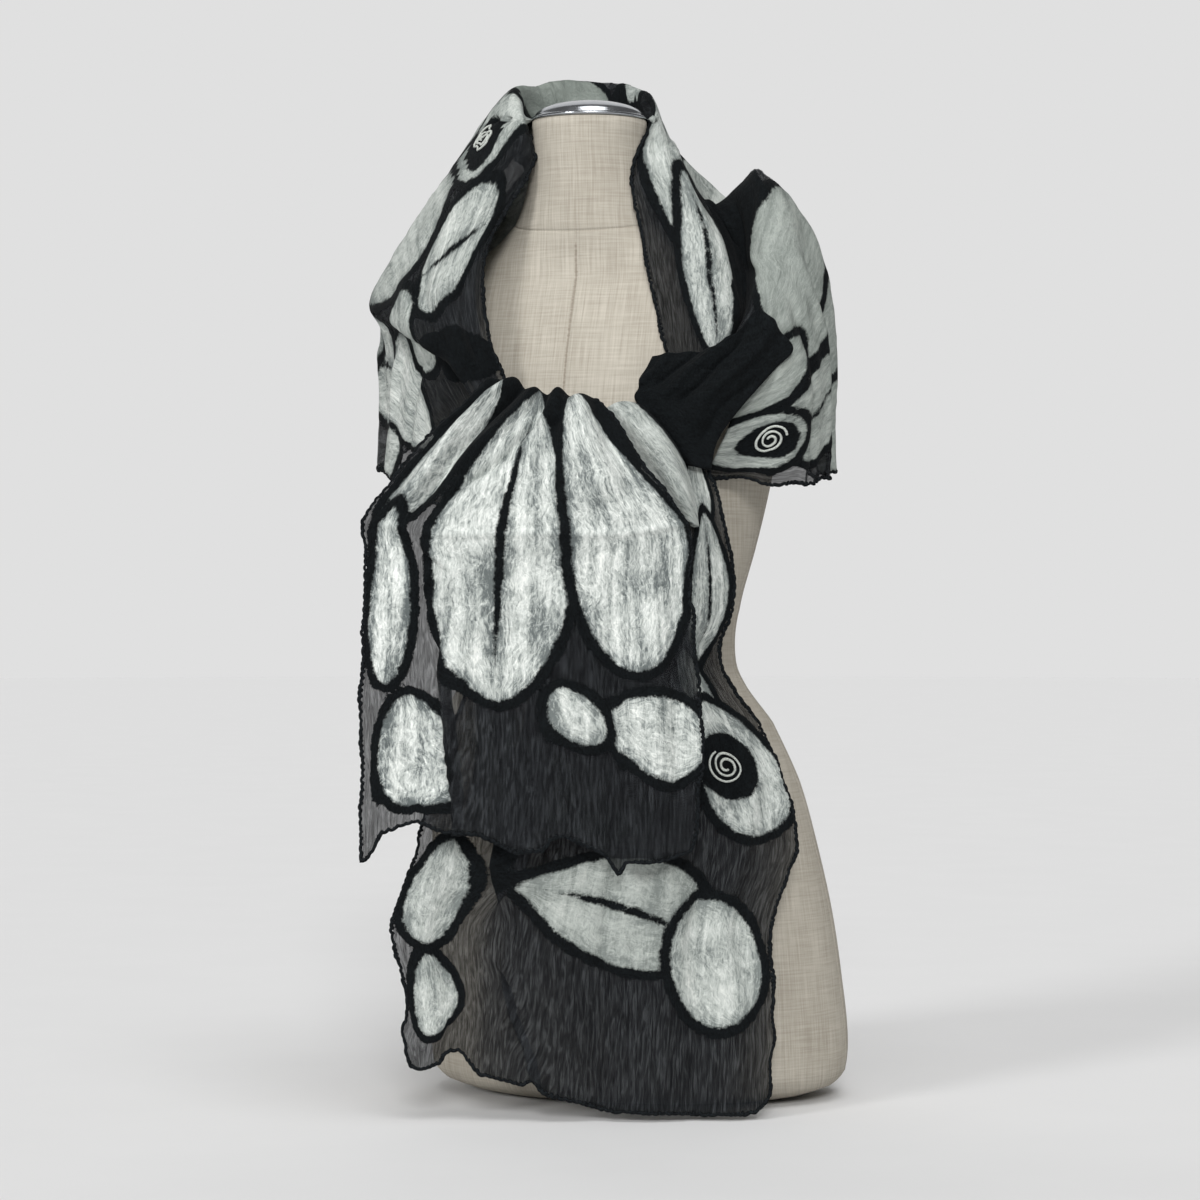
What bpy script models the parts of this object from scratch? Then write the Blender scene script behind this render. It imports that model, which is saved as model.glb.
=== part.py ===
"""Felted scarf on a limbless dress form.

A long nuno-felt scarf passes behind the neck of a linen dress form as a tall collar, drapes over
both shoulders and crosses on the chest. One end comes up behind the crossing and flips over it,
the other hangs beneath it almost to the form's underside.

Frame: origin at the middle of the underside, +Z up, the form faces -Y, metres.
Stations are in millimetres. The cloth's are square to a direction turned by TURN from the form's
front, because the drape is told from there: x to that view's right, y away from it, z up.
"""

import math

import bmesh
import bpy
from mathutils import Matrix, Vector
from mathutils.bvhtree import BVHTree

MM = 0.001
TURN = math.radians(16.0)       # the drape's stations are turned this far from the form's front
HIP_SHIFT = 29.0                # the form's axis lies this far right of the drape's middle, mm

CLOTH = 1.8                     # cloth wall, mm
SEAM = 0.3                      # gap between neighbouring pieces, mm
REST = 0.6                      # cloth clears the form by this much where it lies on it, mm
SEAM_ALONG = 0.005              # half a seam's gap, as a part of the way between two stations
SEAM_ACROSS = 0.03              # a seam's gap, as a part of the way between two columns
FACETS_ALONG, FACETS_ACROSS = 4.4, 3.4      # facets between two stations, and between two columns
PUSHES = 3                      # times the cloth's facets are moved off the form's bulges

# ------------------------------------------------------------------ the form, in its own frame
# height, centre to the form's left, centre to its back, half width, front depth, back depth
TORSO = (
    (0.0, 0, 0, 118, 72, 78),
    (3.5, 0, 0, 134, 88, 94),
    (10.0, 0, 0, 152, 104, 108),
    (20.0, 0, 0, 161, 111, 115),
    (45.0, 0, 0, 163, 113, 118),
    (90.0, -1, -3, 160, 113, 118),
    (140.0, -3, -9, 156, 112, 114),
    (190.0, -6, -18, 150, 109, 106),
    (240.0, -10, -30, 143, 102, 97),
    (285.0, -13, -42, 128, 93, 88),
    (318.0, -15, -49, 108, 86, 81),
    (340.0, -15, -52, 103, 83, 79),
    (370.0, -15, -54, 107, 86, 82),
    (420.0, -15, -53, 120, 101, 92),
    (465.0, -15, -50, 130, 108, 99),
    (510.0, -15, -48, 138, 106, 103),
    (550.0, -15, -48, 145, 97, 101),
    (580.0, -15, -50, 148, 84, 92),
    (600.0, -15, -52, 144, 73, 80),
    (616.0, -15, -54, 128, 64, 68),
    (630.0, -16, -57, 101, 58, 60),
    (645.0, -16, -60, 76, 55, 55),
    (662.0, -17, -64, 58, 51, 50),
    (690.0, -17, -68, 48, 46, 45),
    (715.0, -18, -70, 44, 44, 43),
    (735.6, -18, -71, 43, 43, 42),
)
BUST_HEIGHT, BUST_SIDE, BUST_REACH, BUST_SPREAD = 470.0, 62.0, 13.0, 44.0
ROUND = 56                      # facets round the form
FORM_STEP = 18.0                # a torso ring is added between two sections further apart, mm

CAP_RADIUS, CAP_RISE, CAP_RIM = 43.6, 12.0, 3.4
CAP_ROUND, CAP_ROLL = 1.2, 0.8  # its lower edge's bevel, and the step from the rim to the dome
CAP_FACETS, DOME_STEPS = 40, 7
NECK = (-18.0, -71.0)           # the neck's middle at its top, in the form's frame
NECK_TOP = 735.6

# ------------------------------------------------------------------ the scarf round the neck
# One row a station, from the knot over the form's right shoulder, behind the neck and over the
# left shoulder back to the knot. Across the cloth each has its neck edge, the crest of the
# collar, two points down the slope, the lip of the big fold, the tuck behind it, the drop and
# the hem.
WRAP = (
    # right side, knot
    ((-68, -150, 532), (-71, -152, 529), (-75, -155, 524), (-80, -157, 518),
     (-86, -158, 511), (-82, -150, 504), (-88, -148, 480), (-92, -148, 442)),
    # right breast
    ((-83, -142, 575), (-88, -146, 573), (-94, -150, 569), (-102, -152, 564),
     (-112, -152, 555), (-106, -140, 546), (-116, -138, 510), (-122, -140, 450)),
    # right front
    ((-84, -122, 634), (-90, -127, 632), (-104, -132, 618), (-121, -135, 600),
     (-140, -132, 573), (-130, -118, 562), (-137, -116, 526), (-143, -118, 462)),
    # right neck
    ((-50, -84, 704), (-62, -90, 712), (-96, -100, 678), (-128, -102, 638),
     (-160, -90, 592), (-150, -78, 577), (-153, -80, 540), (-156, -82, 472)),
    # right shoulder
    ((-57, -60, 735), (-67, -55, 758), (-108, -42, 712), (-142, -32, 664),
     (-174, -24, 608), (-167, -22, 583), (-161, -22, 546), (-162, -20, 475)),
    # right of the back
    ((-43, -23, 737), (-52, -14, 770), (-88, 16, 715), (-114, 32, 670),
     (-140, 40, 622), (-148, 44, 585), (-150, 44, 545), (-150, 42, 488)),
    # middle of the back
    ((-8, -9, 736), (-8, 4, 777), (-8, 30, 735), (-6, 46, 690),
     (-4, 57, 640), (-3, 63, 598), (-2, 66, 556), (-2, 68, 508)),
    # left of the back
    ((27, -24, 737), (30, -15, 768), (62, 8, 712), (90, 18, 676),
     (114, 22, 650), (132, 22, 612), (142, 19, 562), (146, 16, 494)),
    # left shoulder
    ((38, -62, 738), (43, -53, 749), (57, -46, 704), (84, -42, 674),
     (117, -52, 690), (150, -52, 654), (168, -56, 580), (168, -58, 478)),
    # left neck
    ((23, -94, 700), (44, -86, 716), (66, -84, 688), (90, -74, 668),
     (117, -92, 690), (146, -92, 662), (168, -88, 590), (170, -88, 474)),
    # left front
    ((31, -110, 648), (60, -118, 646), (88, -112, 640), (104, -88, 632),
     (119, -124, 640), (144, -126, 627), (164, -116, 562), (164, -106, 466)),
    # left breast
    ((40, -130, 598), (68, -136, 597), (98, -136, 592), (106, -126, 588),
     (114, -147, 600), (132, -150, 578), (150, -146, 532), (146, -132, 464)),
    # left side, knot
    ((49, -142, 556), (70, -146, 553), (84, -145, 551), (90, -138, 549),
     (94, -158, 558), (104, -164, 540), (112, -160, 508), (106, -142, 466)),
)
# Each piece of the wrap: name, columns from and to, stations from and to.
WRAP_PIECES = (
    ("scarf_right_shoulder", 0, 4.5, 0, 4.6),
    ("scarf_right_drape", 4.5, 7, 0, 4.6),
    ("scarf_collar", 0, 7, 4.6, 7.4),
    ("scarf_left_lapel", 0, 3.6, 7.4, 12),
    ("scarf_left_cape", 3.6, 7, 7.4, 12),
)

# ------------------------------------------------------------------ the layers in front
# Rows run down the cloth, columns from its left edge to its right one.
CROSSING = (
    ((38, -158, 553), (62, -162, 556), (90, -165, 563), (112, -156, 586)),
    ((30, -161, 538), (58, -168, 540), (92, -172, 546), (136, -157, 560)),
    ((26, -163, 520), (54, -171, 520), (84, -175, 521), (106, -168, 524)),
    ((46, -167, 494), (58, -173, 494), (72, -174, 494), (84, -170, 494)),
    ((64, -171, 474), (68, -174, 473), (73, -174, 472), (78, -172, 471)),
)
KNOT_FOLD = (
    ((0, -174, 512), (14, -178, 519), (28, -176, 517), (38, -168, 510)),
    ((10, -178, 496), (26, -187, 500), (42, -185, 498), (52, -175, 492)),
    ((26, -180, 474), (42, -190, 478), (54, -188, 476), (62, -176, 470)),
    ((44, -182, 452), (54, -190, 452), (62, -188, 450), (68, -178, 446)),
    ((60, -184, 434), (64, -188, 433), (67, -187, 431), (70, -182, 430)),
)
UPPER_END = (
    # the tuck behind the crossing
    ((-84, -159, 512), (-66, -161, 508), (-48, -163, 504), (-30, -165, 502), (-14, -165, 502)),
    # the fold over the crossing
    ((-80, -174, 535), (-62, -180, 532), (-42, -184, 524), (-20, -187, 521), (-3, -186, 519)),
    ((-92, -180, 521), (-68, -190, 520), (-44, -195, 512), (-16, -202, 512), (8, -195, 508)),
    ((-120, -184, 496), (-86, -196, 492), (-48, -204, 488), (-8, -211, 486), (26, -203, 480)),
    ((-146, -188, 464), (-102, -202, 456), (-50, -211, 452), (4, -216, 452), (46, -208, 452)),
    # the crease across it
    ((-168, -190, 433), (-112, -206, 424), (-50, -214, 424), (14, -216, 424), (61, -206, 431)),
    ((-166, -194, 398), (-110, -204, 396), (-50, -209, 394), (14, -210, 394), (64, -203, 396)),
    ((-168, -192, 340), (-112, -199, 336), (-50, -203, 334), (16, -203, 334), (67, -197, 336)),
    ((-170, -190, 280), (-112, -197, 276), (-50, -200, 274), (18, -199, 274), (72, -195, 276)),
    # the hem
    ((-169, -188, 196), (-118, -196, 216), (-52, -199, 203), (18, -198, 190), (66, -194, 200)),
)
UNDER_END = (
    # behind the crossing
    ((40, -156, 498), (50, -158, 497), (60, -159, 496), (70, -158, 496)),
    ((10, -164, 466), (32, -168, 464), (54, -168, 466), (78, -165, 472)),
    ((-40, -168, 420), (0, -178, 418), (50, -180, 418), (92, -166, 424)),
    ((-76, -168, 370), (-20, -179, 366), (44, -181, 366), (95, -165, 372)),
    ((-88, -168, 335), (-24, -178, 332), (40, -178, 332), (84, -164, 336)),
    ((-104, -166, 290), (-30, -176, 286), (46, -176, 286), (110, -156, 292)),
    ((-122, -164, 240), (-40, -174, 236), (52, -172, 236), (134, -144, 244)),
    ((-132, -162, 196), (-46, -172, 190), (52, -170, 190), (142, -138, 198)),
    ((-148, -160, 140), (-60, -168, 132), (42, -166, 130), (126, -146, 140)),
    ((-140, -158, 90), (-62, -164, 80), (40, -162, 78), (126, -148, 86)),
    # the hem
    ((-142, -156, 40), (-66, -160, 22), (36, -158, 6), (124, -150, 15)),
)


def clear_scene():
    for old in list(bpy.data.objects):
        bpy.data.objects.remove(old, do_unlink=True)


def finish(name, colour, roughness, metallic=0.0):
    """A plain Principled finish from an sRGB colour."""
    made = bpy.data.materials.new(name)
    made.use_nodes = True
    shader = made.node_tree.nodes["Principled BSDF"]
    linear = [(c / 12.92) if c <= 0.04045 else ((c + 0.055) / 1.055) ** 2.4 for c in colour]
    shader.inputs["Base Color"].default_value = (*linear, 1.0)
    shader.inputs["Roughness"].default_value = roughness
    shader.inputs["Metallic"].default_value = metallic
    return made


def add_object(name, mesh_maker, material, smooth=True):
    mesh = bpy.data.meshes.new(name)
    mesh_maker.to_mesh(mesh)
    mesh_maker.free()
    for face in mesh.polygons:
        face.use_smooth = smooth
    mesh.materials.append(material)
    made = bpy.data.objects.new(name, mesh)
    bpy.context.scene.collection.objects.link(made)
    return made


def curve_through(points, at):
    """The point at a place along a smooth curve that passes through each station."""
    last = len(points) - 1
    first = min(max(int(at), 0), last - 1)
    t = at - first
    p1, p2 = points[first], points[first + 1]
    p0 = points[first - 1] if first > 0 else p1 * 2 - p2
    p3 = points[first + 2] if first + 2 <= last else p2 * 2 - p1
    return 0.5 * (
        p1 * 2
        + (p2 - p0) * t
        + (p0 * 2 - p1 * 5 + p2 * 4 - p3) * t * t
        + (p1 * 3 - p0 - p2 * 3 + p3) * t * t * t
    )


# ------------------------------------------------------------------ the form
def torso_at(height):
    """Centre, half width and depths of the torso at a height."""
    rows = [Vector(row[1:4]) for row in TORSO], [Vector((row[4], row[5], 0)) for row in TORSO]
    heights = [row[0] for row in TORSO]
    height = min(max(height, heights[0]), heights[-1])
    i = max(k for k in range(len(heights) - 1) if heights[k] <= height)
    at = i + (height - heights[i]) / (heights[i + 1] - heights[i])
    middle_and_width, depths = (curve_through(row, at) for row in rows)
    return (*middle_and_width, depths[0], depths[1])


def torso_point(height, angle):
    """A point on the torso, in the form's frame; angle 0 is its left, 90 degrees its front."""
    left, back, width, front, rear = torso_at(height)
    x = width * math.cos(angle)
    depth = front if math.sin(angle) > 0 else rear
    y = -depth * math.sin(angle)
    if math.sin(angle) > 0:
        for side in (-BUST_SIDE, BUST_SIDE):
            away = ((x - side) ** 2 + (height - BUST_HEIGHT) ** 2) / BUST_SPREAD**2
            y -= BUST_REACH * math.exp(-away) * math.sin(angle)
    return Vector((left + x, back + y, height))


def from_part(point):
    """A point of the form's frame in metres, in the drape's frame."""
    return Matrix.Rotation(-TURN, 3, "Z") @ (point / MM) + Vector((HIP_SHIFT, 0, 0))


def to_part(point):
    """A point of the drape's frame, in the form's frame in metres."""
    return (Matrix.Rotation(TURN, 3, "Z") @ (point - Vector((HIP_SHIFT, 0, 0)))) * MM


def make_form():
    linen = finish("natural_linen", (0.72, 0.69, 0.64), 0.9)
    maker = bmesh.new()
    rings = []
    heights = [TORSO[0][0]]
    for lower, upper in zip(TORSO, TORSO[1:]):
        steps = 2 if upper[0] - lower[0] > FORM_STEP else 1
        heights += [lower[0] + (upper[0] - lower[0]) * k / steps for k in range(1, steps + 1)]
    for height in heights:
        angles = [2 * math.pi * k / ROUND for k in range(ROUND)]
        rings.append([maker.verts.new(torso_point(height, a) * MM) for a in angles])
    for low, high in zip(rings, rings[1:]):
        for k in range(ROUND):
            following = (k + 1) % ROUND
            maker.faces.new((low[k], high[k], high[following], low[following]))
    maker.faces.new(rings[0])
    maker.faces.new(list(reversed(rings[-1])))
    bmesh.ops.recalc_face_normals(maker, faces=maker.faces)
    return add_object("form_body", maker, linen)


def make_cap():
    """Chrome cap: a low dome with a short rolled rim, resting on the neck."""
    chrome = finish("polished_chrome", (0.75, 0.75, 0.76), 0.15, 1.0)
    profile = [(0.0, 0.0), (CAP_RADIUS - CAP_ROUND, 0.0), (CAP_RADIUS, CAP_ROUND)]
    profile.append((CAP_RADIUS, CAP_RIM))
    for k in range(1, DOME_STEPS + 1):
        turn = math.pi / 2 * k / DOME_STEPS
        radius = (CAP_RADIUS - CAP_ROLL) * math.cos(turn)
        profile.append((max(radius, 0.0), CAP_RIM + CAP_RISE * math.sin(turn)))
    maker = bmesh.new()
    outline = [maker.verts.new((radius, 0, height)) for radius, height in profile]
    edges = [maker.edges.new(pair) for pair in zip(outline, outline[1:])]
    bmesh.ops.spin(maker, geom=outline + edges, axis=(0, 0, 1), cent=(0, 0, 0), steps=CAP_FACETS,
                   angle=2 * math.pi, use_duplicate=False)
    bmesh.ops.remove_doubles(maker, verts=maker.verts, dist=1e-4)
    bmesh.ops.recalc_face_normals(maker, faces=maker.faces)
    bmesh.ops.scale(maker, vec=(MM, MM, MM), verts=maker.verts)
    made = add_object("form_neck_cap", maker, chrome)
    made.location = Vector((NECK[0], NECK[1], NECK_TOP + SEAM)) * MM
    return made


def tree_of(*objects):
    """A search tree of several solids' surfaces, in metres."""
    corners, faces = [], []
    for solid in objects:
        first = len(corners)
        corners += [v.co + solid.location for v in solid.data.vertices]
        faces += [[first + k for k in face.vertices] for face in solid.data.polygons]
    return BVHTree.FromPolygons(corners, faces)


# ------------------------------------------------------------------ the cloth
def keep_clear(point, form, gap):
    """Moves a point of the drape's frame out of the form, so that it lies gap mm off it."""
    near, normal, _, _ = form.find_nearest(to_part(point))
    off = (to_part(point) - near).dot(normal)
    if off >= gap * MM:
        return point
    return from_part(near + normal * gap * MM)


def cloth_points(rows, across, along, form):
    """Points of a smooth sheet through rows of stations, at the given places."""
    grid = []
    for v in along:
        stations = [curve_through([Vector(row[k]) for row in rows], v) for k in range(len(rows[0]))]
        line = [curve_through(stations, u) for u in across]
        grid.append([keep_clear(point, form, CLOTH / 2 + REST) for point in line])
    # between its points a flat facet may still cut a bulge, so its corners move out with its middle
    for _ in range(PUSHES):
        for upper, lower in zip(grid, grid[1:]):
            for k in range(len(upper) - 1):
                middle = (upper[k] + upper[k + 1] + lower[k] + lower[k + 1]) / 4
                push = keep_clear(middle, form, CLOTH / 2 + REST / 2) - middle
                for row, at in ((upper, k), (upper, k + 1), (lower, k), (lower, k + 1)):
                    row[at] = row[at] + push
    return grid


def places(start, end, steps):
    return [start + (end - start) * k / steps for k in range(steps + 1)]


def wall_from(name, grid, material):
    """A closed wall of the cloth's thickness round a sheet of points."""
    down, over = len(grid), len(grid[0])
    normals = []
    for i in range(down):
        for j in range(over):
            along = grid[min(i + 1, down - 1)][j] - grid[max(i - 1, 0)][j]
            across = grid[i][min(j + 1, over - 1)] - grid[i][max(j - 1, 0)]
            normals.append(across.cross(along).normalized())
    maker = bmesh.new()
    skins = []
    for side in (0.5, -0.5):
        skin = []
        for i in range(down):
            for j in range(over):
                point = grid[i][j] + normals[i * over + j] * CLOTH * side
                skin.append(maker.verts.new(to_part(point)))
        skins.append(skin)

    def quad(skin, i, j):
        return [skin[a * over + b] for a, b in ((i, j), (i + 1, j), (i + 1, j + 1), (i, j + 1))]

    for i in range(down - 1):
        for j in range(over - 1):
            maker.faces.new(quad(skins[0], i, j))
            maker.faces.new(list(reversed(quad(skins[1], i, j))))
    rim = [(0, j) for j in range(over)] + [(i, over - 1) for i in range(1, down)]
    rim += [(down - 1, j) for j in range(over - 2, -1, -1)] + [(i, 0) for i in range(down - 2, 0, -1)]
    for here, there in zip(rim, rim[1:] + rim[:1]):
        a, b = here[0] * over + here[1], there[0] * over + there[1]
        maker.faces.new((skins[0][a], skins[0][b], skins[1][b], skins[1][a]))
    bmesh.ops.recalc_face_normals(maker, faces=maker.faces)
    bmesh.ops.triangulate(maker, faces=maker.faces)
    return add_object(name, maker, material)


def make_wrap(form, felt):
    last = len(WRAP) - 1
    for name, left, right, start, end in WRAP_PIECES:
        start += SEAM_ALONG if start > 0 else 0
        end -= SEAM_ALONG if end < last else 0
        steps_along = round((end - start) * FACETS_ALONG)
        steps_across = round((right - left) * FACETS_ACROSS)
        left += SEAM_ACROSS if left > 0 else 0
        grid = cloth_points(WRAP, places(left, right, steps_across),
                            places(start, end, steps_along), form)
        wall_from(name, grid, felt)


def make_layer(name, rows, steps_across, steps_down, form, felt):
    grid = cloth_points(rows, places(0, len(rows[0]) - 1, steps_across),
                        places(0, len(rows) - 1, steps_down), form)
    wall_from(name, grid, felt)


clear_scene()
form_shape = tree_of(make_form(), make_cap())
grey_felt = finish("wool_felt", (0.62, 0.63, 0.61), 0.95)
black_felt = finish("black_chiffon", (0.07, 0.07, 0.08), 0.9)
make_wrap(form_shape, grey_felt)
make_layer("scarf_crossing", CROSSING, 10, 14, form_shape, black_felt)
make_layer("scarf_knot_fold", KNOT_FOLD, 9, 12, form_shape, grey_felt)
make_layer("scarf_upper_end", UPPER_END, 14, 24, form_shape, grey_felt)
make_layer("scarf_under_end", UNDER_END, 13, 24, form_shape, black_felt)
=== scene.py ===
"""Felted scarf on a limbless dress form: its looks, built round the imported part."""

import math

import bmesh
import bpy
import numpy as np
from mathutils import Matrix, Vector
from mathutils.bvhtree import BVHTree


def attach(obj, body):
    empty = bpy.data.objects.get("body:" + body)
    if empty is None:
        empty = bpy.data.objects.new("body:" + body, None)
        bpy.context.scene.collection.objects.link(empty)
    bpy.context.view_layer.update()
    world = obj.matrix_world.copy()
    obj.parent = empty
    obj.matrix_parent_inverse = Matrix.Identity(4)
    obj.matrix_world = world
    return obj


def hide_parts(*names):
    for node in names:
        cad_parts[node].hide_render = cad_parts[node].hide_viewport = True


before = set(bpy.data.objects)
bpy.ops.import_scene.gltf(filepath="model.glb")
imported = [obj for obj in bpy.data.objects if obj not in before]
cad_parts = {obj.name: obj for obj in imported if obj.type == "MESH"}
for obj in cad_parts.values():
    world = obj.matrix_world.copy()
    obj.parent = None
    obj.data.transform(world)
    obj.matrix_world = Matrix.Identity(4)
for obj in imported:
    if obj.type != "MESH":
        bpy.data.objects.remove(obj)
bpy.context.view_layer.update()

# ------------------------------------------------------------------ the dress form
# A limbless display torso on a flat foot: a moulded shell under a cover of natural linen. The
# cover is cut in panels and sewn at the centre front and back, at the sides and round the neck.

# The torso's sections in mm: height, middle to its left, middle to its back, half width, depth
# to the front, depth to the back. The form faces -Y.
TORSO = np.array(
    (
        (0.0, 0, 0, 118, 72, 78),
        (3.5, 0, 0, 134, 88, 94),
        (10.0, 0, 0, 152, 104, 108),
        (20.0, 0, 0, 161, 111, 115),
        (45.0, 0, 0, 163, 113, 118),
        (90.0, -1, -3, 160, 113, 118),
        (140.0, -3, -9, 156, 112, 114),
        (190.0, -6, -18, 150, 109, 106),
        (240.0, -10, -30, 143, 102, 97),
        (285.0, -13, -42, 128, 93, 88),
        (318.0, -15, -49, 108, 86, 81),
        (340.0, -15, -52, 103, 83, 79),
        (370.0, -15, -54, 107, 86, 82),
        (420.0, -15, -53, 120, 101, 92),
        (465.0, -15, -50, 130, 108, 99),
        (510.0, -15, -48, 138, 106, 103),
        (550.0, -15, -48, 145, 97, 101),
        (580.0, -15, -50, 148, 84, 92),
        (600.0, -15, -52, 144, 73, 80),
        (616.0, -15, -54, 128, 64, 68),
        (630.0, -16, -57, 101, 58, 60),
        (645.0, -16, -60, 76, 55, 55),
        (662.0, -17, -64, 58, 51, 50),
        (690.0, -17, -68, 48, 46, 45),
        (715.0, -18, -70, 44, 44, 43),
        (735.6, -18, -71, 43, 43, 42),
    )
)
BUST_HEIGHT, BUST_SIDE, BUST_REACH, BUST_SPREAD = 470.0, 62.0, 13.0, 44.0
SEAM_DEPTH, SEAM_HALF = 0.9, 0.9
# Seams end at the foot's edge, and are fainter on the neck, where the cover is stretched.
FOOT_EDGE, NECK_FROM, NECK_FAINT = 4.0, 640.0, 0.45
# The seam round the neck: its height, how far it dips in front, over what height that dip fades,
# and over what height the panels' seams end at it.
NECK_SEAM, NECK_SEAM_DROP, NECK_SEAM_BLEND, NECK_SEAM_FADE = 663.0, 13.0, 34.0, 0.6


def along_curve(stations, places):
    """Points at the given places along a smooth curve that passes through each station."""
    last = len(stations) - 1
    first = np.clip(places.astype(int), 0, last - 1)
    shape = (-1, *([1] * (stations.ndim - 1)))
    t = (places - first).reshape(shape)
    p1, p2 = stations[first], stations[first + 1]
    before, after = stations[np.maximum(first - 1, 0)], stations[np.minimum(first + 2, last)]
    p0 = np.where((first > 0).reshape(shape), before, p1 * 2 - p2)
    p3 = np.where((first + 2 <= last).reshape(shape), after, p2 * 2 - p1)
    bend = (p0 * 2 - p1 * 5 + p2 * 4 - p3) * t * t
    return 0.5 * (p1 * 2 + (p2 - p0) * t + bend + (p1 * 3 - p0 - p2 * 3 + p3) * t**3)


def torso_surface(heights, angles):
    """Points on the torso in mm. Angle 0 is the form's left and a quarter turn its front."""
    rows = TORSO[:, 0]
    clipped = np.clip(heights, rows[0], rows[-1]).ravel()
    k = np.clip(np.searchsorted(rows, clipped, side="right") - 1, 0, len(rows) - 2)
    places = k + (clipped - rows[k]) / (rows[k + 1] - rows[k])
    section = along_curve(TORSO[:, 1:], places).reshape(*heights.shape, 5)
    left, back, width, front, rear = np.moveaxis(section, -1, 0)
    x = width * np.cos(angles)
    forward = np.sin(angles)
    y = -np.where(forward > 0, front, rear) * forward
    for side in (-BUST_SIDE, BUST_SIDE):
        away = ((x - side) ** 2 + (heights - BUST_HEIGHT) ** 2) / BUST_SPREAD**2
        y -= BUST_REACH * np.exp(-away) * np.maximum(forward, 0)
    return np.stack((left + x, back + y, np.clip(heights, rows[0], rows[-1])), axis=-1)


def srgb(code):
    """A linear colour from its sRGB hex value."""
    parts = [int(code[k : k + 2], 16) / 255 for k in (1, 3, 5)]
    return (*[c / 12.92 if c <= 0.04045 else ((c + 0.055) / 1.055) ** 2.4 for c in parts], 1.0)


def feed(tree, node, inputs):
    """Gives a node's inputs a value each, or a socket or a node, whose first output in use is
    linked."""
    for name, value in inputs.items():
        if isinstance(value, bpy.types.Node):
            value = next(output for output in value.outputs if output.enabled)
        if isinstance(value, bpy.types.NodeSocket):
            tree.links.new(value, node.inputs[name])
        else:
            node.inputs[name].default_value = value


def add(tree, kind, inputs=None, stops=(), **settings):
    """Adds a shader node with its settings and inputs. Stops are a colour ramp's places and
    colours, in order."""
    made = tree.nodes.new("ShaderNode" + kind)
    for name, value in settings.items():
        setattr(made, name, value)
    feed(tree, made, inputs or {})
    for k, (place, colour) in enumerate(stops):
        steps = made.color_ramp.elements
        step = steps[k] if k < 2 else steps.new(place)
        step.position, step.color = place, srgb(colour)
    return made


def new_finish(name):
    """A material with a Principled shader: the material, its node tree and the shader."""
    made = bpy.data.materials.new(name)
    made.use_nodes = True
    return made, made.node_tree, made.node_tree.nodes["Principled BSDF"]


def streaks(tree, source, across_mm, along_mm, detail, rough=0.5, twist=0.0):
    """Noise in streaks of that size in mm, across and along the given places' directions."""
    size = {"Vector": source, "Scale": (1000 / across_mm, 1000 / along_mm, 1)}
    noise = {"Vector": add(tree, "Mapping", size), "Scale": 1.0, "Detail": detail}
    return add(tree, "TexNoise", noise | {"Roughness": rough, "Distortion": twist})


def sums(tree, *terms):
    """The sum of values, each times its weight."""
    total = 0.0
    for value, weight in terms:
        share = {0: value, 1: weight, 2: total}
        total = add(tree, "Math", share, operation="MULTIPLY_ADD")
    return total


def set_out(name, data):
    """Puts a mesh, a curve, a light or a camera in the scene as an object at the origin."""
    made = bpy.data.objects.new(name, data)
    bpy.context.scene.collection.objects.link(made)
    return made


def place_mesh(name, maker, finish):
    """Makes the object of a finished mesh, smooth, at the origin."""
    mesh = bpy.data.meshes.new(name)
    maker.to_mesh(mesh)
    maker.free()
    mesh.shade_smooth()
    mesh.materials.append(finish)
    return set_out(name, mesh)


# Natural linen, unbleached and slubbed, plain woven: matte, greige, with thick threads both ways.
# A thread is 0.4 mm; drawn at about 1.2 mm, or it wouldn't show at this distance. The seams are
# dark where the two edges meet, and the stitches break that line.
linen, tree, shader = new_finish("natural_slub_linen_woven")
weave = add(tree, "Attribute", attribute_name="weave").outputs["Vector"]
warp, weft = streaks(tree, weave, 1.2, 34, 2.0), streaks(tree, weave, 30, 1.3, 2.0)
thick_warp, thick_weft = streaks(tree, weave, 2.6, 90, 1.0), streaks(tree, weave, 70, 3.4, 1.0)
cloth_height = sums(tree, (warp, 0.9), (weft, 0.7), (thick_warp, 0.3), (thick_weft, 0.25))
shade = sums(tree, (cloth_height, 1.0), (streaks(tree, weave, 60, 80, 2.0), 0.5))
shade = add(tree, "MapRange", {"Value": shade, "From Min": 0.98, "From Max": 1.66})
greige = ((0.0, "#9a9387"), (0.5, "#aba599"), (1.0, "#bbb5a9"))
linen_colour = add(tree, "ValToRGB", {"Fac": shade}, stops=greige)
seam_line = add(tree, "Attribute", attribute_name="seam").outputs["Fac"]
stitched = sums(tree, (seam_line, 1.0), (streaks(tree, weave, 5, 2.2, 1.0), 0.9))
stitched = add(tree, "MapRange", {"Value": stitched, "From Min": 0.95, "From Max": 1.5})
seamed = {0: stitched, 6: linen_colour, 7: srgb("#8a8276")}
linen_colour = add(tree, "Mix", seamed, data_type="RGBA")
linen_bump = add(tree, "Bump", {"Height": cloth_height, "Strength": 0.4, "Distance": 0.0006})
feed(tree, shader, {"Base Color": linen_colour, "Normal": linen_bump})
feed(tree, shader, {"Roughness": 0.92, "Specular IOR Level": 0.2})

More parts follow.
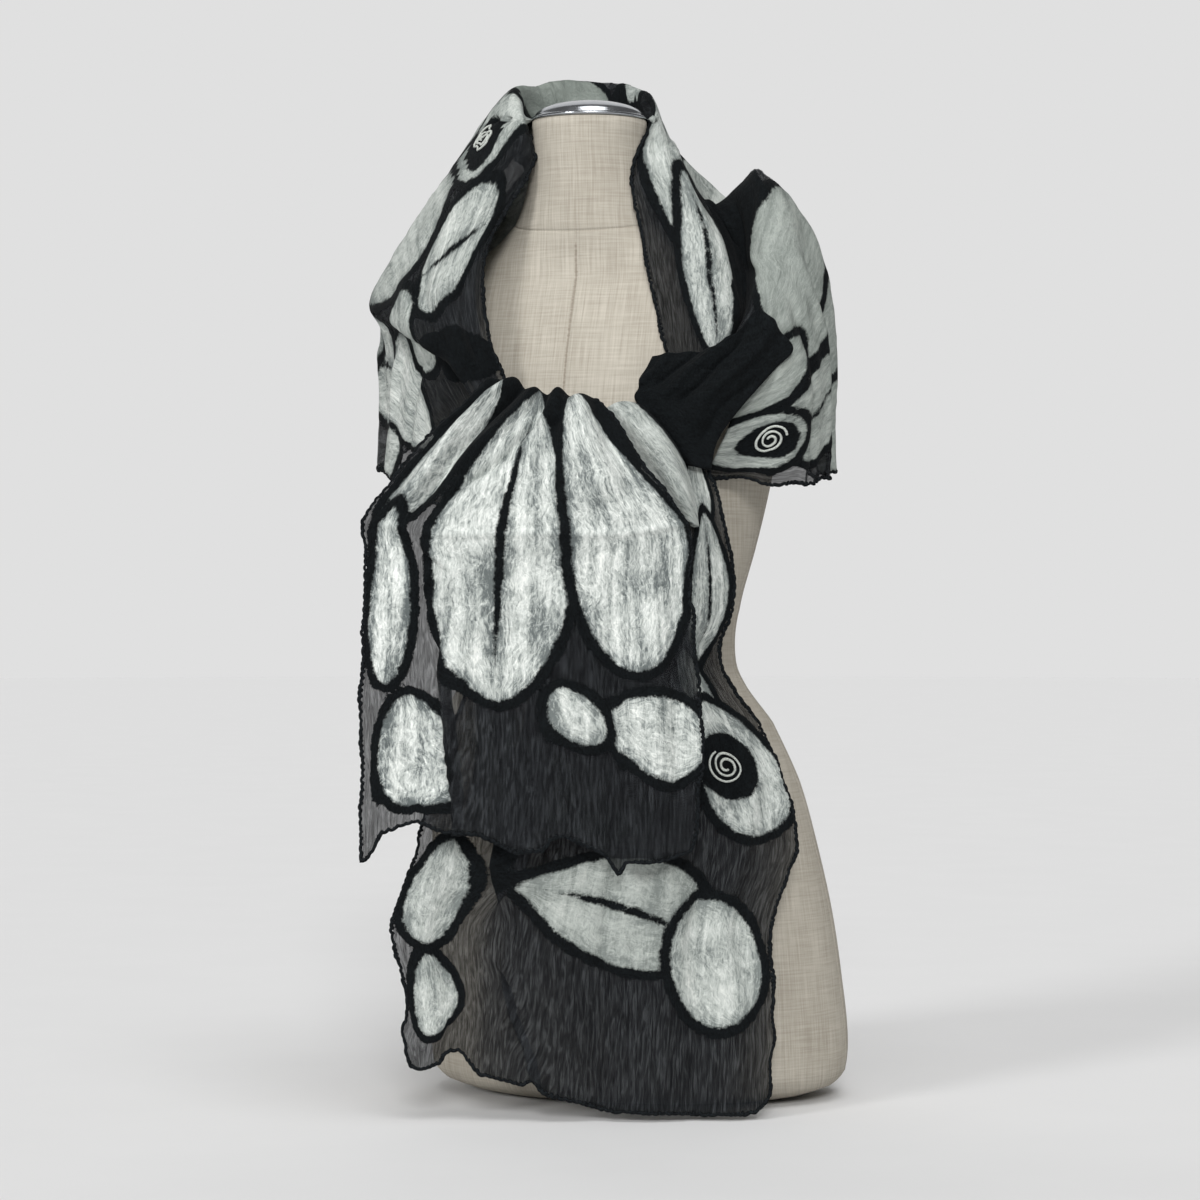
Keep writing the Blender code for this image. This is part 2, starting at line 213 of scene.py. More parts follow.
# Columns round the form and rows up it, set close together at each seam: the steps across a seam
# in mm, a mm's share of the way round in degrees, and the room kept round each seam in both.
SEAM_STEPS = np.array((-1.9, -1.1, -0.6, -0.25, 0.0, 0.25, 0.6, 1.1, 1.9))
MM_IN_DEGREES, ROOM_DEGREES, ROOM_MM = 0.55, 1.4, 3.0
panel_seams = np.radians((0.0, 90.0, 180.0, 270.0))
around = np.linspace(270, 630, 129)
for middle in (270, 360, 450, 540, 630):
    around = around[np.abs(around - middle) > ROOM_DEGREES]
    around = np.append(around, middle + SEAM_STEPS * MM_IN_DEGREES)
around = np.radians(np.sort(around[(around > 269.99) & (around < 630.01)]))
heights = np.concatenate(
    ((0, 1.2, 2.4, 3.5, 5, 7, 10, 13, 16, 20), np.arange(25, 733, 5.0), (735.6,))
)
heights = heights[np.abs(heights - NECK_SEAM) > ROOM_MM]
heights = np.sort(np.append(heights, NECK_SEAM + SEAM_STEPS))
ring_height, ring_angle = np.meshgrid(heights, around, indexing="ij")
blend = np.exp(-(((ring_height - NECK_SEAM) / NECK_SEAM_BLEND) ** 2))
skin = torso_surface(ring_height - NECK_SEAM_DROP * np.sin(ring_angle) * blend, ring_angle)
middle = torso_surface(ring_height, ring_angle).mean(axis=1, keepdims=True)
outwards = (skin - middle) * (1, 1, 0)
reach = np.linalg.norm(outwards, axis=2, keepdims=True)
outwards /= np.maximum(reach, 1e-6)
groove = np.exp(-(((ring_height - NECK_SEAM) / SEAM_HALF) ** 2))
under_neck = 1 / (1 + np.exp((ring_height - NECK_SEAM) / NECK_SEAM_FADE))
for seam in panel_seams:
    arc = np.arctan2(np.sin(ring_angle - seam), np.cos(ring_angle - seam)) * reach[:, :, 0]
    groove = np.maximum(groove, np.exp(-((arc / SEAM_HALF) ** 2)) * under_neck)
groove[ring_height < FOOT_EDGE] = 0
skin -= outwards * (SEAM_DEPTH * groove)[:, :, None]

# The grain runs down each panel from its middle: across is the way round from the centre front
# on the front panels and from the centre back on the back panels, which have threads of their own.
BACK_PANELS = 600.0
steps = np.linalg.norm(np.diff(skin, axis=1), axis=2)
round_it = np.concatenate((np.zeros((len(heights), 1)), np.cumsum(steps, axis=1)), axis=1)
front = np.abs(around - np.radians(450.0)).argmin()
quarter = np.abs(around - np.radians(360.0)).argmin(), np.abs(around - np.radians(540.0)).argmin()
grain = round_it - round_it[:, [front]]
grain[:, : quarter[0]] = round_it[:, : quarter[0]] + BACK_PANELS
grain[:, quarter[1] + 1 :] = (round_it - round_it[:, [-1]])[:, quarter[1] + 1 :] + BACK_PANELS

maker = bmesh.new()
weave_layer = maker.verts.layers.float_vector.new("weave")
seam_layer = maker.verts.layers.float.new("seam")
bmesh.ops.create_grid(maker, x_segments=len(around) - 1, y_segments=len(heights) - 1, size=1.0)
for vertex, place, way_round, depth in zip(
    maker.verts, skin.reshape(-1, 3), grain.ravel(), groove.ravel()
):
    vertex.co = place * 0.001
    vertex[weave_layer] = (way_round * 0.001, place[2] * 0.001, 0)
    vertex[seam_layer] = depth if place[2] < NECK_FROM else NECK_FAINT * depth
bmesh.ops.remove_doubles(maker, verts=maker.verts, dist=1e-6)
bmesh.ops.holes_fill(maker, edges=[e for e in maker.edges if e.is_boundary], sides=0)
bmesh.ops.recalc_face_normals(maker, faces=maker.faces)
dress_form = place_mesh("dress_form", maker, linen)
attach(dress_form, "root")
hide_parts("form_body")
form_tree = BVHTree.FromPolygons(
    [v.co for v in dress_form.data.vertices], [p.vertices for p in dress_form.data.polygons]
)

# ------------------------------------------------------------------ the neck cap
# A spun cap of chromed brass: a low dome with a rolled rim. It is pressed over the top of the neck
# and covers the raw edge of the linen.
CAP_MIDDLE = (-18.0, -71.0, 735.9)
CAP_RADIUS, CAP_RIM, CAP_RISE, ROLL = 43.6, 3.4, 12.0, 1.5
# How far in from the cap's radius its underside and its dome start, and its rim's lift, in mm.
UNDERSIDE_IN, DOME_IN, RIM_LIFT = 2.6, 2.4, 0.1

# Polished chrome plate, dulled a little by handling: bright and cool, with faint wiping marks.
chrome, tree, shader = new_finish("chrome_plate_polished")
place = add(tree, "TexCoord").outputs["Object"]
marks = {"Vector": place, "Scale": 60.0, "Detail": 4.0, "Distortion": 1.5}
wiped = {"Value": add(tree, "TexNoise", marks), "From Min": 0.3, "From Max": 0.75}
wiping = add(tree, "MapRange", wiped | {"To Min": 0.14, "To Max": 0.28})
feed(tree, shader, {"Roughness": wiping, "Base Color": srgb("#b4b7bb"), "Metallic": 1.0})

roll = CAP_RADIUS - ROLL, ROLL + RIM_LIFT, ROLL, ROLL, np.radians(np.linspace(-100, 100, 9))
dome = 0, CAP_RIM, CAP_RADIUS - DOME_IN, CAP_RISE, np.linspace(0, math.pi / 2, 15)
profile = [(0, 0), (CAP_RADIUS - UNDERSIDE_IN, 0)]
for radius, height, wide, high, turns in (roll, dome):
    profile += [(radius + wide * math.cos(a), height + high * math.sin(a)) for a in turns]
profile[-1] = (0, CAP_RIM + CAP_RISE)
maker = bmesh.new()
line = [maker.verts.new((radius, 0, height)) for radius, height in profile]
edges = [maker.edges.new(pair) for pair in zip(line, line[1:])]
bmesh.ops.spin(
    maker, geom=line + edges, axis=(0, 0, 1), cent=(0, 0, 0), steps=96, angle=2 * math.pi,
    use_merge=True, use_duplicate=False
)
bmesh.ops.remove_doubles(maker, verts=maker.verts, dist=1e-4)
bmesh.ops.recalc_face_normals(maker, faces=maker.faces)
bmesh.ops.translate(maker, vec=CAP_MIDDLE, verts=maker.verts)
bmesh.ops.scale(maker, vec=(0.001, 0.001, 0.001), verts=maker.verts)
neck_cap = place_mesh("neck_cap", maker, chrome)
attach(neck_cap, "root")
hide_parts("form_neck_cap")

# ------------------------------------------------------------------ the scarf round the neck
# The scarf is one straight length of crinkled black silk chiffon with merino laid on it and
# felted through. This stretch runs from the knot over the form's right shoulder, behind the neck
# as a collar and over the left shoulder to the knot. Its edge is a felted cord with small loops.

# The drape is told from a direction turned from the form's front: x to that view's right, y away
# from it, z up, in mm. A row is a station along the scarf; across it lie the neck edge, the
# collar's crest, two points of the slope, the big fold's lip, the tuck behind it, the drop and
# the hem.
DRAPE_TURN = math.radians(16.0)
DRAPE_AXES = Matrix.Rotation(DRAPE_TURN, 3, "Z")
DRAPE_SHIFT = (29.0, 0.0, 0.0)
WRAP = (
    # right side, knot
    ((-68, -150, 532), (-71, -152, 529), (-75, -155, 524), (-80, -157, 518),
     (-86, -158, 511), (-82, -150, 504), (-88, -148, 480), (-92, -148, 442)),
    # right breast
    ((-83, -142, 575), (-88, -146, 573), (-94, -150, 569), (-102, -152, 564),
     (-112, -152, 555), (-106, -140, 546), (-116, -138, 510), (-122, -140, 450)),
    # right front
    ((-84, -122, 634), (-90, -127, 632), (-104, -132, 618), (-121, -135, 600),
     (-140, -132, 573), (-130, -118, 562), (-137, -116, 526), (-143, -118, 462)),
    # right neck
    ((-50, -84, 704), (-62, -90, 712), (-96, -100, 678), (-128, -102, 638),
     (-160, -90, 592), (-150, -78, 577), (-153, -80, 540), (-156, -82, 472)),
    # right shoulder
    ((-57, -60, 735), (-67, -55, 758), (-108, -42, 712), (-142, -32, 664),
     (-174, -24, 608), (-167, -22, 583), (-161, -22, 546), (-162, -20, 475)),
    # right of the back
    ((-43, -23, 737), (-52, -14, 770), (-88, 16, 715), (-114, 32, 670),
     (-140, 40, 622), (-148, 44, 585), (-150, 44, 545), (-150, 42, 488)),
    # middle of the back
    ((-8, -9, 736), (-8, 4, 777), (-8, 30, 735), (-6, 46, 690),
     (-4, 57, 640), (-3, 63, 598), (-2, 66, 556), (-2, 68, 508)),
    # left of the back
    ((27, -24, 737), (30, -15, 768), (62, 8, 712), (90, 18, 676),
     (114, 22, 650), (132, 22, 612), (142, 19, 562), (146, 16, 494)),
    # left shoulder
    ((38, -62, 738), (43, -53, 749), (57, -46, 704), (84, -42, 674),
     (117, -52, 690), (150, -52, 654), (168, -56, 580), (168, -58, 478)),
    # left neck
    ((23, -94, 700), (44, -86, 716), (66, -84, 688), (90, -74, 668),
     (117, -92, 690), (146, -92, 662), (168, -88, 590), (170, -88, 474)),
    # left front
    ((31, -110, 648), (60, -118, 646), (88, -112, 640), (104, -88, 632),
     (119, -124, 640), (144, -126, 627), (164, -116, 562), (164, -106, 466)),
    # left breast
    ((40, -130, 598), (68, -136, 597), (98, -136, 592), (106, -126, 588),
     (114, -147, 600), (132, -150, 578), (150, -146, 532), (146, -132, 464)),
    # left side, knot
    ((49, -142, 556), (70, -146, 553), (84, -145, 551), (90, -138, 549),
     (94, -158, 558), (99, -161, 540), (95, -157, 508), (76, -147, 467)),
)
SCARF_WIDTH, WRAP_LENGTH = 360.0, 756.0
# The black wool's width round each pale shape, and how far the cloth lies off the form before its
# folds are laid and after, in mm. The felt's thickness in metres, the bare silk's share of it, and
# the steps between the two.
BLACK_BORDER, FIRST_GAP, FORM_GAP = 7.5, 1.6, 1.4
FELT_THICK, SILK_SHARE, FELT_STEPS = 0.0017, 0.3, 5
# Folds: the height of each outwards in mm, its half width at the start and at the end and, where
# it laps over itself, how far; then the line that it follows, as stations across and along.
WRAP_FOLDS = (
    # along the lip of the fold over the right shoulder
    ((3.4, 3, 6), (3.7, 0.5), (3.7, 1.8), (3.66, 3.2)),
    ((-3.8, 3, 6), (3.3, 0.6), (3.28, 1.8), (3.16, 2.7)),
    ((3.8, 3.5, 6.5), (2.8, 0.5), (2.72, 1.4), (2.48, 2.2)),
    ((-3.2, 3.5, 6), (2.2, 0.5), (2.05, 1.2), (1.8, 1.9)),
    # down the shoulder from the neck
    ((2.2, 12, 20), (0.9, 3), (2, 3.1), (3.4, 3.3)),
    ((-3.4, 8, 14), (0.8, 3.9), (2, 4), (3.7, 4.15)),
    ((4.6, 9, 15), (1, 4.5), (2.6, 4.6), (4.2, 4.65)),
    # the drape under the lip
    ((4.5, 5, 9), (5.1, 1.1), (6, 1.05), (7, 1)),
    ((-4.4, 4.5, 8), (5.1, 1.9), (6, 2), (7, 2.1)),
    ((5, 6, 11), (5.2, 2.7), (6, 2.75), (7, 2.8)),
    ((-4.6, 5, 9), (5.2, 3.6), (6.1, 3.7), (7, 3.7)),
    ((5.6, 7, 13), (5, 4.3), (6, 4.35), (7, 4.4)),
    # the back, fanned from the collar
    ((-8, 6, 13), (1.6, 5.15), (4, 5), (7, 4.85)),
    ((11, 7, 15), (1.3, 5.45), (3.8, 5.45), (7, 5.35)),
    ((-7, 5, 9), (2.6, 5.72), (4.8, 5.7), (7, 5.6)),
    ((8.5, 6, 12), (1.8, 5.95), (4.4, 5.98), (7, 5.86)),
    ((-7, 6, 12), (1.5, 6.25), (3.5, 6.3), (5.8, 6.22)),
    ((11, 8, 16), (2.2, 6.55), (4.4, 6.6), (7, 6.5)),
    ((-8, 6, 12), (1.5, 6.85), (3.4, 6.95), (7, 6.88)),
    ((9.5, 7, 14), (1.6, 7.15), (4, 7.2), (7, 7.22)),
    ((-6.5, 6, 11), (2.2, 7.5), (4.5, 7.6), (7, 7.6)),
    # the left lapel, along the neck and into the knot
    ((4, 4.5, 7), (1.5, 7.6), (1.6, 9.2), (1.9, 11.4)),
    ((-2.8, 3.5, 6), (0.7, 8), (0.8, 9.6), (1, 11.2)),
    ((-3.4, 3.5, 6), (2.3, 8.1), (2.45, 9.6), (2.6, 11.2)),
    # the dark valley between lapel and cape
    ((3, 3, 4.5), (2.7, 8.2), (2.9, 9.2), (3.1, 10.4)),
    ((-2.8, 2.8, 4), (3.4, 8.3), (3.4, 9.3), (3.45, 10.6)),
    # the sharp fold between the valley and the cape
    ((3.4, 3.4, 3.4), (4.03, 7.6), (4.04, 9), (4.02, 10.8)),
    # the cape
    ((-4, 8, 14), (4.5, 8.2), (5.6, 8.1), (7, 8.05)),
    ((5.2, 9, 17), (4.4, 8.9), (5.6, 8.9), (7, 8.75)),
    ((-5, 7, 11), (4.6, 9.5), (5.8, 9.55), (7, 9.3)),
    ((4.8, 8, 12), (4.3, 10.1), (5.6, 10.1), (7, 9.9)),
    ((-4.4, 6, 9), (4.5, 10.7), (5.8, 10.7), (7, 10.6)),
    ((3.6, 6, 9), (4.3, 11.4), (5.6, 11.4), (7, 11.3)),
)
# Wool laid on the silk, each shape: its middle across and along the scarf in mm, the turn of its
# long axis from across it in degrees, half its length and width, how pointed it is (0.5 is an
# oval, 1 a leaf), its bend, the half width of the slit down it, and how grey it is, from 0 for
# white to 1; at the collar that grey is painted shade. Black wool has no grey. A later shape lies
# over an earlier one.
WRAP_WOOL = (
    # over the right shoulder
    (50, 182, -4, 44, 33, 0.5, 0, 0, 0.5),
    (160, 180, 6, 62, 42, 0.6, 4, 0, 0.5),
    (74, 108, 8, 64, 33, 0.55, 3, 2.4, 0.4),
    (176, 96, 10, 40, 30, 0.6, 0, 0, 0.5),
    (80, 40, 12, 84, 12, 0.5, 0, 0, None),
    (60, 178, 0, 14, 16, 0.5, 0, 0, None),
    # the drape under it
    (268, 98, 86, 56, 44, 0.5, 0, 0, 0.3),
    (276, 196, 84, 52, 44, 0.55, 0, 2.4, 0.35),
    (344, 148, 60, 40, 26, 0.5, 0, 0, 0.4),
    # the back
    # The collar: its full grey is painted shade, for the shadow inside the collar behind the neck.
    (22, 320, 90, 112, 27, 0.6, 0, 0, 1.0),
    (14, 470, 90, 36, 24, 0.6, 0, 0, None),
    (88, 256, 80, 46, 34, 0.6, 0, 0, 0.5),
    (168, 258, 40, 60, 34, 0.7, 0, 2.6, 0.45),
    (252, 262, 84, 52, 42, 0.5, 0, 0, 0.4),
    (330, 296, 70, 52, 32, 0.6, 0, 0, 0.45),
    (92, 356, 88, 60, 38, 0.5, 0, 0, 0.4),
    (190, 346, 4, 64, 42, 0.6, 0, 0, 0.5),
    (300, 384, 84, 54, 42, 0.75, 0, 2.6, 0.4),
    (128, 446, 14, 76, 42, 0.65, 4, 2.8, 0.45),
    (240, 446, 70, 52, 42, 0.5, 0, 0, 0.4),
    (326, 470, 80, 44, 30, 0.5, 0, 0, 0.5),
    (60, 510, 60, 46, 30, 0.6, 0, 0, 0.5),
    (156, 530, 10, 66, 36, 0.55, 0, 0, 0.5),
    (270, 528, 40, 56, 38, 0.7, 0, 2.6, 0.6),
    # the left lapel
    (34, 602, 84, 66, 22, 0.7, 0, 0, 0.4),
    (58, 686, 76, 70, 24, 0.7, -4, 2.2, 0.3),
    # the valley beside it
    (112, 652, 88, 96, 24, 0.5, 0, 0, None),
    # the cape
    (246, 600, 86, 50, 50, 0.5, 0, 0, 0.75),
    (332, 604, 84, 46, 34, 0.6, 0, 0, 0.8),
    (188, 656, 86, 68, 54, 0.5, 0, 0, 0.8),
    (296, 682, 70, 54, 40, 0.6, 0, 2.4, 0.7),
    (230, 734, 70, 40, 30, 0.6, 0, 0, 0.8),
    (308, 736, 84, 30, 36, 0.5, 0, 0, 0.6),
    (308, 730, 0, 15, 10, 0.5, 0, 0, None),
)


def to_part(points):
    """Points of the drape in mm, in the part's frame in metres."""
    return (points - DRAPE_SHIFT) @ np.array(DRAPE_AXES).T * 0.001


def drape(rows, across, down):
    """A smooth sheet of points through rows of stations, at the given places."""
    lines = along_curve(np.array(rows, float), down)
    return np.swapaxes(along_curve(np.swapaxes(lines, 0, 1), across), 0, 1)


def cloth_frames(points):
    """At each point of a sheet, the directions across it, down it and out of it."""
    across = np.gradient(points, axis=1)
    down = np.gradient(points, axis=0)
    out = np.cross(down, across)
    return [
        a / np.maximum(np.linalg.norm(a, axis=2, keepdims=True), 1e-9) for a in (across, down, out)
    ]


def lengths(points):
    """Distance across the sheet from its first edge, and down it from its first row, in mm."""
    step_across = np.linalg.norm(np.diff(points, axis=1), axis=2)
    step_down = np.linalg.norm(np.diff(points, axis=0), axis=2).mean(axis=1)
    across = np.concatenate((np.zeros((len(points), 1)), np.cumsum(step_across, axis=1)), axis=1)
    down = np.concatenate(([0], np.cumsum(step_down)))
    return np.stack((across, np.repeat(down[:, None], points.shape[1], axis=1)), axis=-1)


def ease(x):
    """From 0 to 1, softly at both ends."""
    x = np.clip(x, 0, 1)
    return x * x * (3 - 2 * x)


def between(x, start, rise, end, fall):
    """1 between two places and 0 outside them, with a soft rise and fall."""
    return ease((x - start) / rise) * ease((end - x) / fall)


# A fold that ends inside the cloth fades over this share of its length. A lap's sideways pull and
# its rise are scaled so that they reach the sizes given.
FOLD_FADE, LAP_PULL, LAP_RISE = 0.22, 1.17, 2.33


def lay_folds(points, across, down, folds):
    """Moves a sheet's points into soft ridges, troughs and laps along given lines."""
    real = lengths(points)
    right, below, out = cloth_frames(points)
    raised, shifted = np.zeros(real.shape[:2]), np.zeros(points.shape)
    for (height, start, end, *lap), *path in folds:
        column = np.interp([p[0] for p in path], across, np.arange(len(across)))
        row = np.interp([p[1] for p in path], down, np.arange(len(down)))
        line = real[np.round(row).astype(int), np.round(column).astype(int)]
        steps = np.linalg.norm(np.diff(line, axis=0), axis=1)
        before, total = np.concatenate(([0], np.cumsum(steps))), steps.sum()
        off = np.full(real.shape[:2], 1e6)
        place, side = np.zeros(real.shape[:2]), np.zeros((*real.shape[:2], 2))
        for k, step in enumerate(steps):
            ahead = (line[k + 1] - line[k]) / step
            t = np.clip((real - line[k]) @ ahead, 0, step)
            gap = real - line[k] - t[:, :, None] * ahead
            distance = np.linalg.norm(gap, axis=2)
            nearer = distance < np.abs(off)
            turned = np.array((-ahead[1], ahead[0]))
            off = np.where(nearer, distance * np.sign(gap @ turned), off)
            place = np.where(nearer, (before[k] + t) / total, place)
            side = np.where(nearer[:, :, None], turned, side)
        width = start + (end - start) * place
        swell = np.exp(-((off / width) ** 2))
        for (tip_across, tip_down), from_tip in ((path[0], place), (path[-1], 1 - place)):
            if tip_across not in across[[0, -1]] and tip_down not in down[[0, -1]]:
                swell = swell * ease(from_tip / FOLD_FADE)
        if lap:
            pull = -lap[0] * LAP_PULL * (off / width) * swell
            shifted += pull[:, :, None] * (side[:, :, :1] * right + side[:, :, 1:] * below)
            swell = -LAP_RISE * (off / width) * swell
        raised += height * swell
    return points + out * raised[:, :, None] + shifted


def uneven(real, wide, long, seed):
    """Smooth irregular waves from -1 to 1, of about that width across and length down, in mm."""
    lattice = np.random.default_rng(seed).uniform(-1, 1, (97, 89))
    x, y = real[:, :, 0] / wide + 3.5, real[:, :, 1] / long + 2.5
    i, j = np.floor(x).astype(int), np.floor(y).astype(int)
    u, v = ease(x - i), ease(y - j)
    corner = [lattice[(i + a) % 97, (j + b) % 89] for a in (0, 1) for b in (0, 1)]
    near = corner[0] * (1 - v) + corner[1] * v
    far = corner[2] * (1 - v) + corner[3] * v
    return near * (1 - u) + far * u


def ruffle(points, way, real, *waves):
    """Moves a sheet's points in the given direction by irregular waves. Each wave: its height in
    mm, its width across and length down, its seed, and how much of it each point gets."""
    moved = sum(
        high * uneven(real, wide, long, seed) * part for high, wide, long, seed, part in waves
    )
    return points + way * moved[:, :, None]


def keep_off(points, gap):
    """Moves a sheet's points out to gap mm off the form."""
    placed = to_part(points)
    for line in placed:
        for k, place in enumerate(line):
            near, normal, _, _ = form_tree.find_nearest(place)
            off = (Vector(place) - near).dot(normal)
            if off < gap * 0.001:
                line[k] = near + normal * gap * 0.001
    return placed / 0.001 @ np.array(DRAPE_AXES) + DRAPE_SHIFT


def relax(points, times):
    """Softens a sheet's small kinks, with its borders held."""
    for _ in range(times):
        inner = points[1:-1, 1:-1]
        around_it = points[:-2, 1:-1] + points[2:, 1:-1] + points[1:-1, :-2] + points[1:-1, 2:]
        points[1:-1, 1:-1] = inner * 0.5 + around_it * 0.125
    return points


# A distance that counts as far away in mm, how much wider a shape is towards its far end, the
# share of its length that a slit takes, and how far apart the shapes' fibres are drawn from, in mm.
FAR, TAPER, SLIT_SHARE, FIBRE_STEP = 60.0, 0.2, 0.8, 61.0


def lay_wool(flat, shapes, rim):
    """Where the wool lies on the flat silk: the distance in from the edge of the pale wool and of
    the black wool round it, how grey it is, and the way its fibres run."""
    pale, dark = np.full(flat.shape[:2], -FAR), np.full(flat.shape[:2], -FAR)
    grey, fibre = np.zeros(flat.shape[:2]), flat.copy()
    turns = np.linspace(0, 2 * math.pi, 73)
    for number, row in enumerate(shapes):
        at_across, at_down, turn, half_long, half_wide, point, bend, slit, tone = row
        c, s = math.cos(math.radians(turn)), math.sin(math.radians(turn))
        from_middle = flat - (at_across, at_down)
        p = from_middle[:, :, 0] * c + from_middle[:, :, 1] * s
        q = -from_middle[:, :, 0] * s + from_middle[:, :, 1] * c
        x, side = np.cos(turns), np.sin(turns)
        wide = half_wide * np.abs(side) ** (2 * point) * (1 + TAPER * x)
        outline = np.stack((half_long * x, np.sign(side) * wide + bend * x * x), axis=-1)
        near = np.hypot(p, q) < 1.2 * max(half_long, half_wide) + FAR / 2
        here = np.stack((p[near], q[near]), axis=-1)
        away = np.full(len(here), FAR)
        for start, end in zip(outline, outline[1:]):
            t = np.clip((here - start) @ (end - start) / ((end - start) @ (end - start)), 0, 1)
            gap = here - start - t[:, None] * (end - start)
            away = np.minimum(away, np.hypot(gap[:, 0], gap[:, 1]))
        x = np.clip(p / half_long, -1, 1)
        q = q - bend * x * x
        wide = half_wide * (1 - x * x) ** point * (1 + TAPER * x)
        edge = np.full(flat.shape[:2], -FAR)
        edge[near] = np.where((np.abs(q) < wide)[near], away, -away)
        round_it = edge + rim
        if slit:
            edge = np.minimum(edge, np.abs(q) - slit * (1 - (x / SLIT_SHARE) ** 2))
        over = round_it > 0
        pale = np.minimum(pale, -round_it)
        if tone is not None:
            pale = np.where(over, np.maximum(pale, edge), pale)
            grey = np.where(over, tone, grey)
            lane = q / np.maximum(wide, half_wide * 0.35) * half_wide
            along = np.stack((p, lane + FIBRE_STEP * number), axis=-1)
            fibre = np.where(over[:, :, None], along, fibre)
        dark = np.maximum(dark, round_it)
    return pale, dark, grey, fibre


# What each point of the cloth holds: how far in from the edge of the pale and the black wool it
# is, how grey the wool is (at the collar, painted shade) and how far the silk is doubled.
FELT_VALUES = ("pale_wool", "black_wool", "grey", "doubled")


def make_cloth(name, points, flat, shapes, rim=BLACK_BORDER, doubled=0.0):
    """A thin shell of nuno felt on a sheet of points, a little thicker where wool is felted in.
    Doubled is 1 where the silk lies in two layers, and more where it is tucked tight."""
    rows, columns = points.shape[:2]
    pale, dark, grey, fibre = lay_wool(flat, shapes, rim)
    maker = bmesh.new()
    bmesh.ops.create_grid(maker, x_segments=columns - 1, y_segments=rows - 1, size=1.0)
    for vertex, place in zip(maker.verts, to_part(points).reshape(-1, 3)):
        vertex.co = place
    bmesh.ops.reverse_faces(maker, faces=maker.faces)
    made = place_mesh(name, maker, nuno)
    doubled = np.broadcast_to(doubled, pale.shape)
    for label, values in zip(FELT_VALUES, (pale, dark, grey, doubled)):
        layer = made.data.attributes.new(label, "FLOAT", "POINT")
        layer.data.foreach_set("value", values.astype(np.float32).ravel())
    for label, values in (("lay", fibre), ("cut", flat)):
        layer = made.data.attributes.new(label, "FLOAT_VECTOR", "POINT")
        in_metres = np.concatenate((values * 0.001, np.zeros((*values.shape[:2], 1))), axis=2)
        layer.data.foreach_set("vector", in_metres.astype(np.float32).ravel())
    thick = made.vertex_groups.new(name="felted")
    level = np.round(ease((dark.ravel() + 2.0) / 5.0) * FELT_STEPS).astype(int)
    for k in range(1, FELT_STEPS + 1):
        thick.add(np.nonzero(level == k)[0].tolist(), k / FELT_STEPS, "REPLACE")
    wall = made.modifiers.new("cloth", "SOLIDIFY")
    wall.thickness, wall.offset = FELT_THICK, 0.0
    wall.vertex_group, wall.thickness_vertex_group = "felted", SILK_SHARE
    wall.use_rim = True
    return made


# Nuno felt: merino wool laid on crinkled silk chiffon and felted through it. The wool is matte,
# mottled where the dark silk comes through, with fibres along each shape and stray ones over it,
# and its border is ragged; its grey streaks down the cloth are partly thinner felt and partly
# painted shade of the wide crinkles. The silk alone is thin and black, with fine crinkles down the
# cloth, so that what lies behind shows grey, and a painted glint lightens its colour on the
# crinkles' crests. A wool fibre is 0.02 mm, drawn as locks of 1 to 2 mm; a crinkle is 1 to 3 mm.
nuno, tree, shader = new_finish("nuno_felt_merino_on_silk_chiffon")
pale_in, black_in, grey_in, doubled = (
    add(tree, "Attribute", attribute_name=name).outputs["Fac"] for name in FELT_VALUES
)
lay, on_silk = (
    add(tree, "Attribute", attribute_name=name).outputs["Vector"] for name in ("lay", "cut")
)
drift = add(tree, "TexNoise", {"Vector": on_silk, "Scale": 48.0, "Detail": 3.0}).outputs["Color"]
centred = add(tree, "VectorMath", {0: drift, 1: (0.5, 0.5, 0.5)}, operation="SUBTRACT")
curled = {0: centred, 1: (0.02, 0.02, 0), 2: lay}
curled = add(tree, "VectorMath", curled, operation="MULTIPLY_ADD")
crinkle = streaks(tree, on_silk, 1.5, 15, 2.0, 0.5, 1.0)
wide_crinkle = streaks(tree, on_silk, 8, 80, 3.0, 0.55, 0.3)
frayed = streaks(tree, on_silk, 8, 8, 5.0, 0.62)
fuzz = streaks(tree, on_silk, 1.1, 1.6, 2.0, 0.6, 0.8)
locks = streaks(tree, curled, 20, 1.9, 4.0, 0.65)
mottle = streaks(tree, curled, 8, 4.0, 7.0, 0.76, 0.8)
dashes = streaks(tree, on_silk, 1.7, 5.5, 5.0, 0.74, 0.5)
clouds = streaks(tree, on_silk, 30, 34, 3.0)
pale_edge = sums(tree, (pale_in, 1.0), (frayed, 6.0), (fuzz, 3.5))
black_edge = sums(tree, (black_in, 1.0), (frayed, 6.0), (fuzz, 3.5))
is_pale = add(tree, "MapRange", {"Value": pale_edge, "From Min": 4.0, "From Max": 5.8})
is_black = add(tree, "MapRange", {"Value": black_edge, "From Min": 4.0, "From Max": 5.4})
strays = []
for source, across_mm, along_mm in ((curled, 22, 7), (on_silk, 17, 15)):
    soft = streaks(tree, source, across_mm, along_mm, 1.0, 0.5, 1.2)
    off = add(tree, "Math", {0: soft, 1: 0.5}, operation="SUBTRACT")
    off = add(tree, "Math", {0: off}, operation="ABSOLUTE")
    line = {"Value": off, "From Min": 0.0, "From Max": 0.013, "To Min": 1.0, "To Max": 0.0}
    strays.append((add(tree, "MapRange", line), 0.11))
worn = {"Value": pale_edge, "From Min": 4.5, "From Max": 13.5, "To Min": -0.16, "To Max": 0.0}
# The wide crinkles make grey streaks down the wool: partly thinner felt, partly painted shade of
# the crinkle folds.
grain = ((locks, 0.42), (mottle, 0.75), (dashes, 0.62), (clouds, 0.5), (wide_crinkle, 0.7))
thickness = sums(tree, *grain, (add(tree, "MapRange", worn), 1.0), *strays)
wool_tone_and_crinkle_shade = add(tree, "MapRange", {"Value": thickness, "From Min": 1.29, "From Max": 1.86})
evened = add(tree, "Mix", {0: sums(tree, (grey_in, 0.6)), 2: wool_tone_and_crinkle_shade, 3: 0.6})
